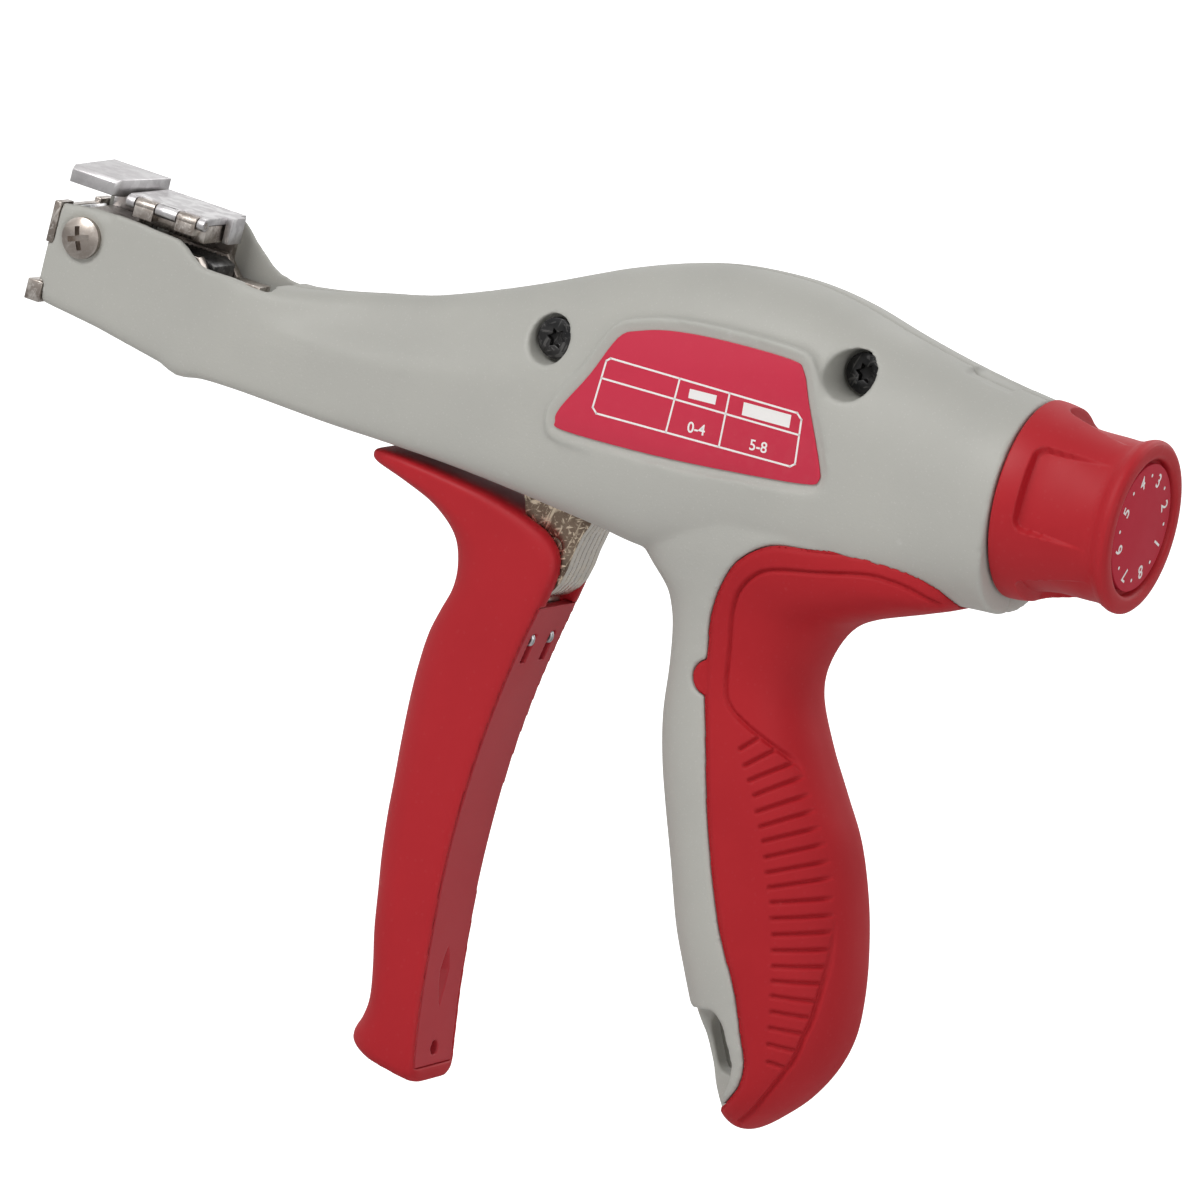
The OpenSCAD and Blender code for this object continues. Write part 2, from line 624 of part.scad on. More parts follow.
module grip_cover() {
  color(red) difference() {
    resize([0, 0, 0]) difference() {
      intersection() {
        handle_form();
        across(2 * over) offset(delta = -grip_seam) grip_outline();
      }
      barrel_form();
      handle_core();
    }
    lanyard_slot();
  }
}

module label_plate() {
  color(red) at_label() between(0, label_t) label_outline();
}

module nose_plate() {
  lip_h = 0.33 * belly_h;
  bottom_z = -0.672 * belly_h;
  top_z = 0.675 * horn_h;
  lip_t = 1.2 * nose_plate_t;
  notch_w = 0.52 * nose_w;
  color(steel) difference() {
    union() {
      block([0, -nose_w / 2, 0.30 * belly_h + seat_gap], [nose_plate_t, nose_w / 2, top_z]);
      block([0, -nose_tongue_w / 2, bottom_z], [nose_plate_t, nose_tongue_w / 2, top_z]);
      block([-lip_t, -nose_w / 2, bottom_z], [nose_plate_t, nose_w / 2, bottom_z + lip_h]);
    }
    block([-over, -notch_w / 2, throat_z], [over, notch_w / 2, over]);
  }
}

module nose_block() {
  color(steel) difference() {
    block([blade_x1 + run_gap, -channel_w / 2 + seat_gap, block_bottom_z],
      [block_rear_x, far_face, throat_z]);
    across(over) translate(screw_at) circle(d = nose_screw_d + 2 * pin_gap);
  }
}

module nose_screw() {
  head_y = -0.47 * nose_w;
  slot_w = 0.13 * nose_head_d;
  slot_l = 0.58 * nose_head_d;
  head_h = 0.3 * nose_head_d;
  color(steel) difference() {
    union() {
      between(head_y, 0.45 * nose_w + head_h) translate(screw_at) circle(d = nose_screw_d);
      translate([screw_at[0], head_y, screw_at[1]]) rotate([90, 0, 0])
        rotate_extrude() intersection() {
          translate([0, head_h - 2 * nose_head_d / 2]) circle(r = nose_head_d);
          square([nose_head_d / 2, head_h]);
        }
    }
    for (turn = [20, 110])
      between(head_y - head_h - slot_w, head_y - 0.25 * head_h) translate(screw_at) rotate(turn)
        square([slot_l, slot_w], center = true);
  }
}

module nose_nut() {
  color(steel) difference() {
    between(0.45 * nose_w, 0.45 * nose_w + 0.3 * nose_head_d) translate(screw_at)
      circle(d = nose_head_d, $fn = 6);
    across(2 * over) translate(screw_at) circle(d = nose_screw_d + 2 * seat_gap);
  }
}

// Zinc cover over the throat, on a far leg held by the nose screw
module head_cover() {
  w = 0.855 * nose_w / 2;
  leg_y1 = channel_w / 2 - seat_gap;
  top_z = cover_z + head_cover_t;
  color(zinc) difference() {
    union() {
      translate([0, 0, cover_z]) linear_extrude(head_cover_t) polygon([
        [0.025 * nose_len, -w], [0.215 * nose_len, -w], [0.240 * nose_len, -0.8 * w],
        [0.265 * nose_len, w], [0.008 * nose_len, w]
      ]);
      block([blade_x1 + run_gap, far_face + seat_gap, block_bottom_z],
        [block_rear_x, leg_y1, top_z - head_cover_t / 2]);
    }
    across(over) translate(screw_at) circle(d = nose_screw_d + 2 * pin_gap);
    translate([0, -w, top_z]) rotate([45, 0, 0])
      cube([over, 0.35 * head_cover_t, 0.35 * head_cover_t], center = true);
  }
}

function cover_x(s) = cover_x0 + s * (cover_x1 - cover_x0);
module on_hinge(x0, x1, d) {
  translate([x0, hinge_y, hinge_z]) rotate([0, 90, 0]) cylinder(d = d, h = x1 - x0);
}
// Fixed jaw above the tie, with the cover's knuckles on its near edge
module jaw_frame() {
  near_y = hinge_y + hinge_barrel_d / 2 + run_gap;
  jaw_top_z = cover_z - run_gap;
  teeth = floor((jaw_x1 - jaw_x0 - 2 * tooth_pitch) / tooth_pitch);
  color(steel) difference() {
    union() {
      block([jaw_x0, near_y, jaw_bottom_z], [jaw_x1, channel_w / 2 - seat_gap, jaw_top_z]);
      block([jaw_x0 + 0.1 * nose_len / 4, far_face + seat_gap, block_bottom_z],
        [jaw_x1, channel_w / 2 - seat_gap, jaw_bottom_z]);
      for (s = knuckle_shares) {
        block([cover_x(s[0]), hinge_y - hinge_barrel_d / 2, jaw_bottom_z + 4 * run_gap],
          [cover_x(s[1]), near_y, jaw_top_z]);
        on_hinge(cover_x(s[0]), cover_x(s[1]), hinge_barrel_d);
      }
    }
    on_hinge(-over, over, hinge_pin_d + 2 * pin_gap);
    between(-over, far_face - run_gap) for (i = [1:teeth]) translate(
      [jaw_x0 + i * tooth_pitch, jaw_bottom_z]) circle(r = tooth_pitch / 2, $fn = 4);
  }
}

module cover_hinge_pin() {
  color(steel) on_hinge(cover_x0, cover_x1, hinge_pin_d);
}

module gripper_cover() {
  far_y = channel_w / 2 - run_gap - seat_gap;
  leg_y = 0.66 * channel_w / 2;
  barrels = [[0, knuckle_shares[0][0]], [knuckle_shares[0][1], knuckle_shares[1][0]],
    [knuckle_shares[1][1], 1]];
  color(zinc) difference() {
    union() {
      difference() {
        block([cover_x0, hinge_y, hinge_z], [cover_x1, far_y, hinge_z + cover_plate_t]);
        for (s = knuckle_shares)
          block([cover_x(s[0]) - run_gap, -over, -over],
            [cover_x(s[1]) + run_gap, hinge_y + hinge_barrel_d / 2 + run_gap, over]);
      }
      block([cover_x1, 0.1 * leg_y, jaw_bottom_z], [cover_x1 + cover_plate_t, leg_y,
        hinge_z + cover_plate_t]);
      for (b = barrels)
        on_hinge(cover_x(b[0]) + (b[0] > 0 ? run_gap : 0), cover_x(b[1]) - (b[1] < 1 ? run_gap : 0),
          hinge_barrel_d);
    }
    on_hinge(-over, over, hinge_pin_d + 2 * pin_gap);
  }
}

module housing_screws() {
  color(dark) for (s = [[pivot, pivot_seat_y], [rear_screw_at, rear_seat_y]]) {
    difference() {
      union() {
        between(-s[1], 0.25 * body_w) translate(s[0]) circle(d = house_screw_d);
        between(-s[1] - house_head_h, -s[1]) translate(s[0]) circle(d = house_head_d);
      }
      between(-s[1] - house_head_h - run_gap, -s[1] - house_head_h / 3) translate(s[0])
        for (turn = [0, 60]) rotate(turn) circle(d = 0.52 * house_head_d, $fn = 3);
    }
  }
}

module pivot_sleeve() {
  color(steel) between(-boss_face + seat_gap, boss_face - seat_gap) difference() {
    translate(pivot) circle(d = sleeve_d);
    translate(pivot) circle(d = house_screw_d + 2 * seat_gap);
  }
}

module cutter_pivot_pin() {
  color(steel) across(0.93 * nose_w - 2 * seat_gap) translate(cutter_at)
    circle(d = cutter_pin_d - 2 * pin_gap);
}

module rear_bushing() {
  color("goldenrod") at_knob() difference() {
    union() {
      turned(bushing_d - 2 * seat_gap, -rear_wall - seat_gap, 0);
      turned(flange_d, -rear_wall - flange_t, -rear_wall - seat_gap);
    }
    turned(shaft_d + 2 * pin_gap, -over, over);
  }
}

// Extension spring that draws the drawbar forward again
return_wire = 0.7;
return_r = 1.1;
return_turns = 10;
return_y = -stack_w / 2 - run_gap - 0.5;
module return_loop(at, d) {
  between(return_y - return_wire / 2, return_y + return_wire / 2) translate(at) difference() {
    circle(d = d + 2 * run_gap + 2 * return_wire);
    circle(d = d + 2 * run_gap);
  }
}
module return_spring() {
  front_x = spring_post_at[0] + spring_post_d / 2 + run_gap + return_wire / 2;
  rear_x = draw_x - draw_pin_d / 2 - run_gap - return_wire / 2;
  coil_x0 = front_x + 2 * return_r;
  coil_x1 = rear_x - 8 * return_r;
  leg_d = 1.15 * return_wire;
  color(spring_steel) {
    return_loop(spring_post_at, spring_post_d);
    return_loop([draw_x, draw_z], draw_pin_d);
    translate([0, return_y, draw_z]) {
      translate([coil_x0, 0, 0]) rotate([90, 0, 0])
        helix(return_r, return_wire, return_turns, coil_x1 - coil_x0, 8, 5);
      translate([0, 0, return_r]) {
        turned(leg_d, front_x, coil_x0 + return_wire / 2);
        turned(leg_d, coil_x1 - return_wire / 2, rear_x);
      }
    }
  }
}

// The room behind a line that runs down the trigger, between two of its stations
module trigger_room(y_half, first, last, line) {
  across(2 * y_half) polygon(concat(
    line,
    [for (s = [last:-0.5:first]) trigger_rear(s) + [over, 0]]
  ));
}
insert_first = 8.5;
insert_last = 20;
insert_sunk = 0.3;
hollow_first = 8;
hollow_last = 19;
module trigger_shell() {
  color(red) difference() {
    loft([for (s = [0:trigger_step:trigger_last]) trigger_section(s)]);
    across(stack_w + 2 * seat_gap) offset(delta = seat_gap) lever_outline();
    trigger_room(0.36 * trigger_w, hollow_first, hollow_last,
      [for (s = [hollow_first:0.5:hollow_last])
        let (f = trigger_front(s), b = trigger_rear(s)) f + (b - f) * 0.32]);
    trigger_room(0.43 * trigger_w, insert_first, insert_last,
      [for (s = [insert_first:0.5:insert_last])
        trigger_rear(s) - [insert_t + insert_sunk + seat_gap, 0]]);
  }
}

module trigger_insert() {
  slot_w = 0.13 * trigger_w;
  slot_l = 0.30 * trigger_w;
  s0 = insert_first + seat_gap;
  s1 = insert_last - seat_gap;
  color(red) difference() {
    across(0.86 * trigger_w - 2 * seat_gap) polygon(concat(
      [for (s = [s0:0.5:s1]) trigger_rear(s) - [insert_t + insert_sunk, 0]],
      [for (s = [s1:-0.5:s0]) trigger_rear(s) - [insert_sunk, 0]]
    ));
    across(stack_w + 2 * seat_gap) offset(delta = run_gap) lever_outline();
    for (side = [-1, 1]) translate([0, side * 0.15 * trigger_w, trigger_rear(9.6)[1]])
      cube([over * 10, slot_w, slot_l], center = true);
    across(0.5 * trigger_w) translate(trigger_rear(17.2)) scale([1, 3]) circle(d = 0.16 * trigger_w);
  }
}

module trigger_clip() {
  wire = 1.5;
  y = 0.15 * trigger_w;
  at = trigger_rear(9.6) - [insert_t + 1.45 * wire, 0];
  l = 0.32 * trigger_w;
  color(spring_steel) {
    for (side = [-1, 1]) translate([at[0], side * y, at[1] - l / 2])
      cylinder(d = wire, h = l);
    translate([at[0], 0, at[1] - l / 2]) rotate([90, 0, 0])
      cylinder(d = wire, h = 2 * y, center = true);
  }
}

module lever_outline() {
  translate(pivot) {
    circle(r = eye_r);
    polygon([for (p = lever_shares) p * lever_arm]);
  }
}
module lever_plates() {
  pitch = plate_t + plate_gap;
  slot_w = draw_pin_d + 2 * run_gap;
  slot_l = slot_w + 0.04 * lever_arm;
  color(steel) for (i = [0:plate_count - 1]) {
    middle = i == plate_count / 2 || i == plate_count / 2 - 1;
    across(plate_t, (i - (plate_count - 1) / 2) * pitch) difference() {
      lever_outline();
      translate(pivot) circle(d = sleeve_d + 2 * pin_gap);
      for (p = rivet_shares) translate(pivot + p * lever_arm) circle(d = rivet_d + 2 * seat_gap);
      if (middle) translate(pivot) polygon([for (p = notch_shares) p * lever_arm]);
      else translate(pivot) rotate(-squeeze / 2) translate([0, -(pin_r_rest + lever_arm) / 2])
        square([slot_w, slot_l], center = true);
    }
  }
}
module lever_rivets() {
  color(steel) for (p = rivet_shares) across(stack_w) translate(pivot + p * lever_arm)
    circle(d = rivet_d);
}

// Drawbar: a flat bar from the lever's pin to the carriage
module drawbar() {
  top_z = draw_z + drawbar_h / 2;
  low_z = draw_z - drawbar_h / 2;
  front = carriage_pin_at;
  front_r = 0.75 * carriage_pin_d;
  color(steel) difference() {
    union() {
      across(drawbar_t) translate([draw_x, draw_z]) circle(r = 1.1 * draw_pin_d);
      across(drawbar_t) translate(front) circle(r = front_r);
      across(drawbar_t) polygon([
        front + [0, front_r], [0.93 * nose_len, 0.36 * belly_h], [run_x(0.03), top_z],
        [draw_x, top_z], [draw_x, low_z], [run_x(0.01), low_z],
        [0.85 * nose_len, -0.12 * belly_h], front - [front_r, front_r] / 2
      ]);
    }
    across(over) translate([draw_x, draw_z]) circle(d = draw_pin_d + 2 * seat_gap);
    across(over) translate(front) circle(d = carriage_pin_d + 2 * seat_gap);
  }
}
module drawbar_pin() {
  color(steel) between(-stack_w / 2 - 1.6, stack_w / 2) translate([draw_x, draw_z])
    circle(d = draw_pin_d);
}

carriage_near = -0.89 * channel_w / 2;
carriage_far = far_face - run_gap;
pocket_near = -0.60 * channel_w / 2;
pocket_far = 0.48 * channel_w / 2;
module gripper_carriage() {
  rear_x = carriage_pin_at[0] + carriage_pin_d;
  bridge_x = carriage_pin_at[0] - carriage_pin_d;
  rear_top = 0.50 * belly_h;
  floor_z = 0.19 * belly_h;
  low_z = 0.09 * belly_h;
  color(steel) difference() {
    union() {
      between(carriage_near, carriage_far) polygon([
        [carriage_x0, low_z], [carriage_x0, carriage_top_z], [jaw_x1 + run_gap, carriage_top_z],
        [bridge_x, rear_top], [rear_x, rear_top], [rear_x, low_z]
      ]);
    }
    between(pocket_near, pocket_far) polygon([
      [carriage_x0 + wall, floor_z], [carriage_x0 + wall, over],
      [bridge_x, over], [bridge_x, floor_z]
    ]);
    across(drawbar_t + 2 * seat_gap) polygon([
      [bridge_x - over, -over], [bridge_x, floor_z], [bridge_x, over], [over * 2, over],
      [over * 2, -over]
    ]);
    across(2 * over) {
      translate(carriage_pin_at) circle(d = carriage_pin_d + 2 * seat_gap);
      translate(pawl_pin_at) circle(d = carriage_pin_d + 2 * seat_gap);
    }
  }
}
module carriage_pin() {
  color(steel) between(carriage_near + run_gap, carriage_far - run_gap)
    translate(carriage_pin_at) circle(d = carriage_pin_d);
}
module pawl_pin() {
  color(steel) between(carriage_near + run_gap, carriage_far - run_gap)
    translate(pawl_pin_at) circle(d = carriage_pin_d);
}
module gripper_pawl() {
  tip_x = carriage_x0 + wall + 2 * run_gap;
  hub_r = 0.78 * carriage_pin_d;
  top_z = carriage_top_z - tooth_pitch / 4;
  teeth = floor((pawl_pin_at[0] - tip_x) / tooth_pitch);
  color(steel) between(pocket_near + run_gap, pocket_far - run_gap) difference() {
    union() {
      translate(pawl_pin_at) circle(r = hub_r);
      polygon([
        [tip_x, top_z], [tip_x + tooth_pitch, 0.42 * belly_h], pawl_pin_at - [0, hub_r],
        pawl_pin_at + [hub_r, 0], [pawl_pin_at[0] + hub_r, top_z - tooth_pitch],
        [pawl_pin_at[0], top_z]
      ]);
    }
    translate(pawl_pin_at) circle(d = carriage_pin_d + 2 * pin_gap);
    for (i = [1:teeth]) translate([tip_x + i * tooth_pitch, top_z])
      circle(r = tooth_pitch / 2, $fn = 4);
  }
}
module pawl_spring() {
  leaf_t = 0.4;
  floor_z = 0.19 * belly_h + seat_gap;
  x0 = carriage_x0 + 2 * wall;
  x1 = pawl_pin_at[0] - carriage_pin_d;
  color(spring_steel) between(pocket_near + wall, pocket_far - wall) polygon([
    [x0 + wall, floor_z], [x1, floor_z], [x1, floor_z + leaf_t], [x0 + wall, floor_z + leaf_t],
    [x0 + leaf_t, floor_z + 4 * leaf_t], [x0, floor_z + 3.6 * leaf_t]
  ]);
}

module cutter_blade() {
  bottom_z = tip_z - 3 * tip_r;
  window_y = 0.43 * channel_w / 2;
  edge_z = throat_z - seat_gap;
  color(spring_steel) difference() {
    block([blade_x0, -0.71 * channel_w / 2, bottom_z], [blade_x1, far_face - run_gap, edge_z]);
    block([-over, window_y, tip_z - tip_r - pin_gap], [over, over, tip_z + tip_r + pin_gap]);
    translate([blade_x1, 0, edge_z]) rotate([0, 45, 0])
      cube([blade_t, 2 * over, blade_t], center = true);
  }
}
module cutter_lever() {
  hub_r = cutter_pin_d;
  tip = [cutter_at[0] - cutter_arm * cos(cutter_swing / 2), tip_z];
  y0 = 0.43 * channel_w / 2 + run_gap;
  y1 = far_face - run_gap;
  n = [sin(cutter_swing / 2), cos(cutter_swing / 2)];
  color(steel) difference() {
    union() {
      between(y0, y1) translate(cutter_at) circle(r = hub_r);
      between(y0, y1) translate(tip) circle(r = tip_r - pin_gap);
      between(y0, y1) polygon([tip + n * 0.8 * tip_r, cutter_at + [-n[0], n[1]] * hub_r / 2,
        cutter_at - [-n[0], n[1]] * hub_r / 2, tip - n * 0.8 * tip_r]);
      between(y0, y1) translate(link_pin_at) circle(r = link_pin_d - 1.5 * run_gap);
      between(y0, y1) polygon([cutter_at + [-hub_r / 2, 0], cutter_at + [hub_r / 2, 0],
        link_pin_at + [link_pin_d / 2, 0], link_pin_at - [link_pin_d / 2, 0]]);
    }
    across(over) translate(cutter_at) circle(d = cutter_pin_d);
    across(over) translate(link_pin_at) circle(d = link_pin_d + 2 * seat_gap);
  }
}

// Trip link: a long flat strip beside the drawbar, from the yoke to the cutter lever
function knob_point(x, z) = [knob_at[0] + x * cos(knob_tilt) - z * sin(knob_tilt),
  knob_at[2] + x * sin(knob_tilt) + z * cos(knob_tilt)];
link_end = knob_point(link_rear_at[0], link_rear_at[1]);
module link_piece() {
  between(link_y, link_y + link_t) children();
}
module trip_link() {
  r = link_h / 2;
  bend = [run_x(0.48), link_pin_at[1]];
  slot = link_arm * (1 - cos(cutter_swing / 2));
  color(steel) difference() {
    union() {
      link_piece() translate(link_pin_at) circle(r = r);
      link_piece() translate(bend) circle(r = r);
      link_piece() translate(link_end) circle(r = 1.1 * r);
      link_piece() polygon([link_pin_at + [0, r], bend + [0, r], bend - [0, r],
        link_pin_at - [0, r]]);
      link_piece() polygon([bend + [0, r], link_end + [0, r], link_end - [0, r], bend - [0, r]]);
    }
    across(over) translate(link_pin_at)
      square([link_pin_d + 2 * pin_gap, link_pin_d + 2 * slot + 2 * pin_gap], center = true);
    across(over) translate(link_end) circle(d = link_pin_d + 2 * pin_gap);
  }
}
module trip_link_pins() {
  color(steel) between(link_y - 2.6, link_y + link_t) translate(link_end) circle(d = link_pin_d);
}
module cutter_link_pin() {
  color(steel) between(0.43 * channel_w / 2 + run_gap, link_y + link_t) translate(link_pin_at)
    circle(d = link_pin_d);
}
module trip_yoke() {
  color(steel) difference() {
    union() {
      at_knob() turned(1.12 * spring_d, yoke_x, yoke_x + yoke_t);
      at_knob() block([yoke_x, link_y - 2.6, link_rear_at[1] - link_pin_d],
        [yoke_x + yoke_t, link_y - seat_gap, 0]);
    }
    at_knob() turned(shaft_d + 4 * run_gap, -over * 2, over);
    across(2 * over) translate(link_end) circle(d = link_pin_d + 2 * seat_gap);
  }
}

module tension_spring() {
  color(spring_steel) at_knob() translate([spring_x + seat_gap, 0, 0])
    helix((spring_d - spring_wire_d) / 2, spring_wire_d, spring_turns, spring_len - 2 * seat_gap,
      14, 7);
}
module tension_nut() {
  color("goldenrod") at_knob() difference() {
    union() {
      turned(1.12 * spring_d, spring_x - nut_t, spring_x);
      block([spring_x - nut_t, -guide_reach, -guide_h / 2], [spring_x, guide_reach, guide_h / 2]);
    }
    turned(shaft_d + 2 * pin_gap, -over * 2, over);
  }
}
module tension_shaft() {
  color(steel) at_knob() difference() {
    turned(shaft_d, shaft_front_x, hub_gap + 0.68 * knob_len);
    turned(knob_screw_d, hub_gap + 0.3 * knob_len, over);
  }
}
ring_t = 1;
knob_screw_d = 3.9;
module retaining_ring() {
  color(spring_steel) at_knob() difference() {
    turned(1.45 * shaft_d, shaft_front_x + ring_t, shaft_front_x + 2 * ring_t);
    turned(shaft_d + 2 * seat_gap, -over * 2, over);
  }
}

// Knob profile from its collar to its rim: shares of its length and collar radius
knob_profile_shares = [
  [0.000, 0.985], [0.020, 1.000], [0.120, 0.992], [0.240, 0.965], [0.330, 0.940],
  [0.450, 0.905], [0.570, 0.872], [0.700, 0.838], [0.780, 0.822], [0.840, 0.830],
  [0.885, 0.855], [0.925, 0.872], [0.965, 0.868], [0.992, 0.840], [1.000, 0.800]
];
module tension_knob() {
  r = knob_d / 2;
  dial_x = 0.915 * knob_len;
  color(red) at_knob() translate([hub_gap, 0, 0]) difference() {
    rotate([0, 90, 0]) rotate([0, 0, 180]) rotate_extrude($fn = 72)
      polygon(concat([[0, 0]], [for (p = knob_profile_shares) [p[1] * r, p[0] * knob_len]],
        [[0, knob_len]]));
    turned(shaft_d + 2 * seat_gap, -over, 0.70 * knob_len);
    turned(knob_screw_d + 2 * seat_gap, -over, over);
    turned(2.4 * knob_screw_d, 0.76 * knob_len, over);
    turned(dial_d + 2 * run_gap + 0.4, dial_x, over);
    difference() {
      turned(0.72 * knob_d, -over, 0.62 * knob_len);
      turned(1.9 * shaft_d, -2 * over, over);
    }
    for (i = [0:thumb_recesses - 1]) rotate([i * 360 / thumb_recesses + 74, 0, 0])
      thumb_recess();
  }
}
module thumb_recess() {
  depth_r = 0.826 * knob_d / 2;
  w = 0.385 * knob_d;
  corner = 0.06 * knob_d;
  x0 = 0.20 * knob_len;
  x1 = 0.86 * knob_len;
  translate([0, 0, depth_r]) linear_extrude(knob_d) {
    translate([x0 + corner, -w / 2]) square([x1 - x0 - 2 * corner, w]);
    translate([x0, -w / 2 + corner]) square([x1 - x0, w - 2 * corner]);
    for (x = [x0 + corner, x1 - corner], y = [-1, 1])
      translate([x, y * (w / 2 - corner)]) circle(r = corner);
  }
}
module dial_disc() {
  t = 0.055 * knob_len;
  x0 = hub_gap + 0.915 * knob_len + seat_gap;
  color(red) at_knob() turned(dial_d, x0, x0 + t);
}
module knob_screw() {
  x0 = hub_gap + 0.76 * knob_len + seat_gap;
  color(dark) at_knob() difference() {
    union() {
      turned(knob_screw_d - 2 * seat_gap, hub_gap + 0.34 * knob_len, x0);
      turned(2.1 * knob_screw_d, x0, x0 + 0.6 * knob_screw_d);
    }
    turned(0.9 * knob_screw_d, x0 + 0.2 * knob_screw_d, over, $fn = 6);
  }
}

housing_left();
housing_right();
grip_cover();
label_plate();
nose_plate();
nose_block();
nose_screw();
nose_nut();
head_cover();
jaw_frame();
cover_hinge_pin();
housing_screws();
pivot_sleeve();
cutter_pivot_pin();
rear_bushing();
return_spring();
gripper_cover();
trigger_shell();
trigger_insert();
trigger_clip();
lever_plates();
lever_rivets();
drawbar();
drawbar_pin();
gripper_carriage();
carriage_pin();
pawl_pin();
pawl_spring();
gripper_pawl();
cutter_blade();
cutter_lever();
cutter_link_pin();
trip_link();
trip_link_pins();
trip_yoke();
tension_spring();
tension_nut();
tension_shaft();
retaining_ring();
tension_knob();
dial_disc();
knob_screw();
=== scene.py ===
"""Looks of a pistol-grip cable tie tensioning tool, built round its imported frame."""

from __future__ import annotations

import json
import logging
import math
from dataclasses import dataclass, field
from enum import Enum

import bmesh
import bpy
import numpy as np
from mathutils import Matrix, Vector

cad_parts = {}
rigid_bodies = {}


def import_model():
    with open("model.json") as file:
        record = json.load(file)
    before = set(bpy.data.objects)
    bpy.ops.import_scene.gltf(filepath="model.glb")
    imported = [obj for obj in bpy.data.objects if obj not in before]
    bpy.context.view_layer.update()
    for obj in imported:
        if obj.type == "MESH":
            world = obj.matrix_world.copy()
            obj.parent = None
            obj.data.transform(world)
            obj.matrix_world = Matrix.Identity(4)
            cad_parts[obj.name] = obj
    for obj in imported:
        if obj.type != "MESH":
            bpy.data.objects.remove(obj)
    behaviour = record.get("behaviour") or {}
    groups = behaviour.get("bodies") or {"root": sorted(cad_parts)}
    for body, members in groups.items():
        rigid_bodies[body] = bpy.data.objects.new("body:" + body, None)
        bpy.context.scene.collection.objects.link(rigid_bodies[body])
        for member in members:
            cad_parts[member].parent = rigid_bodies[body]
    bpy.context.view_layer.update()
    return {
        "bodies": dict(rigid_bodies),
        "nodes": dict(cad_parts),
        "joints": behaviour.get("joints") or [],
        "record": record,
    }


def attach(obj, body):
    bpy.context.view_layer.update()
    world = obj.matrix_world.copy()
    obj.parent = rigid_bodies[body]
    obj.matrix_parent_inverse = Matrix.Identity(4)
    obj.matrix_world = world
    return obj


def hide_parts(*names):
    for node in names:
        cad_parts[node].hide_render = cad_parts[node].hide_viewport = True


LOG = logging.getLogger("tie_tool")
MM = 0.001
Point2 = tuple[float, float]
Point3 = tuple[float, float, float]
Outline = list[Point2]
Piece = bpy.types.Object
Socket = bpy.types.NodeSocket


class Side(Enum):
    """The two halves of the casing."""

    LEFT = -1
    RIGHT = 1


class Boolean(Enum):
    """What a boolean does with its tool."""

    JOIN = "UNION"
    CUT = "DIFFERENCE"
    KEEP = "INTERSECT"


# ---------------------------------------------------------------- smooth tables


def smooth_table(table: np.ndarray, at: np.ndarray) -> np.ndarray:
    """Reads every column of a table at new stations, with smooth curves between rows.

    Args:
        table: Rows whose first column rises.
        at: Stations to read, in the units of the first column.

    Returns:
        One row per station, first column included.
    """
    key = table[:, 0]
    n = len(key)
    i = np.clip(np.searchsorted(key, at, side="right") - 1, 0, n - 2)
    lo, hi = np.maximum(np.arange(n) - 1, 0), np.minimum(np.arange(n) + 1, n - 1)
    slope = (table[hi] - table[lo]) / (key[hi] - key[lo])[:, None]
    h = (key[i + 1] - key[i])[:, None]
    u = ((at - key[i]) / (key[i + 1] - key[i]))[:, None]
    p, q, mp, mq = table[i], table[i + 1], slope[i] * h, slope[i + 1] * h
    return p + u * (mp + u * (3 * (q - p) - 2 * mp - mq + u * (2 * (p - q) + mp + mq)))


def round_path(points: Outline, steps: int) -> Outline:
    """Makes a closed path rounder by a smooth curve between each two points.

    Args:
        points: The path's corners.
        steps: Points for each stretch.

    Returns:
        The rounder path.
    """
    p = np.array(points, float)
    out = []
    for i in range(len(p)):
        a, b, c, d = p[i - 1], p[i], p[(i + 1) % len(p)], p[(i + 2) % len(p)]
        m, r = (c - a) / 2, (d - b) / 2
        for k in range(steps):
            u = k / steps
            v = b + u * (m + u * (3 * (c - b) - 2 * m - r + u * (2 * (b - c) + m + r)))
            out.append((float(v[0]), float(v[1])))
    return out


def ring(
    a: np.ndarray,
    b: np.ndarray,
    half: float,
    low: float,
    high: float,
    mid: float,
    waist: float,
    count: int,
    inset: float = 0.0,
) -> np.ndarray:
    """One closed section of a moulded form between two edge points in the side view.

    Args:
        a: First edge point (x, z).
        b: Second edge point (x, z).
        half: Half width across the tool.
        low: Squareness at the first edge.
        high: Squareness at the second edge.
        mid: Share of the way from a to b where it is widest.
        waist: How far its upper part draws in.
        count: Points round the section.
        inset: Distance by which the section is smaller all round.

    Returns:
        Points (x, y, z).
    """
    length = float(np.linalg.norm(b - a))
    d = (b - a) / length
    w, r = half - inset, length - 2 * inset
    t = 2 * np.pi * np.arange(count) / count
    n = np.where(np.cos(t) > 0, low, high)
    c = -np.sign(np.cos(t)) * np.abs(np.cos(t)) ** (2 / n)
    y = w * np.sign(np.sin(t)) * np.abs(np.sin(t)) ** (2 / n)
    s = inset + r * (mid + c * np.where(c < 0, mid, 1 - mid))
    v = np.clip((c - 0.1) / 0.6, 0, 1)
    y = y * (1 - waist * v * v * (3 - 2 * v))
    e = a[None, :] + d[None, :] * s[:, None]
    return np.column_stack([e[:, 0], y, e[:, 1]])


# ---------------------------------------------------------------- mesh tools


def new_object(name: str, verts: np.ndarray, faces: list[tuple[int, ...]]) -> Piece:
    """Makes an object from points in millimetres.

    Args:
        name: Name of the object and its mesh.
        verts: Points, one row each.
        faces: Point numbers of each face.

    Returns:
        The new object, linked to the scene.
    """
    mesh = bpy.data.meshes.new(name)
    mesh.from_pydata((np.asarray(verts, float) * MM).tolist(), [], faces)
    mesh.validate()
    obj = bpy.data.objects.new(name, mesh)
    bpy.context.scene.collection.objects.link(obj)
    return obj


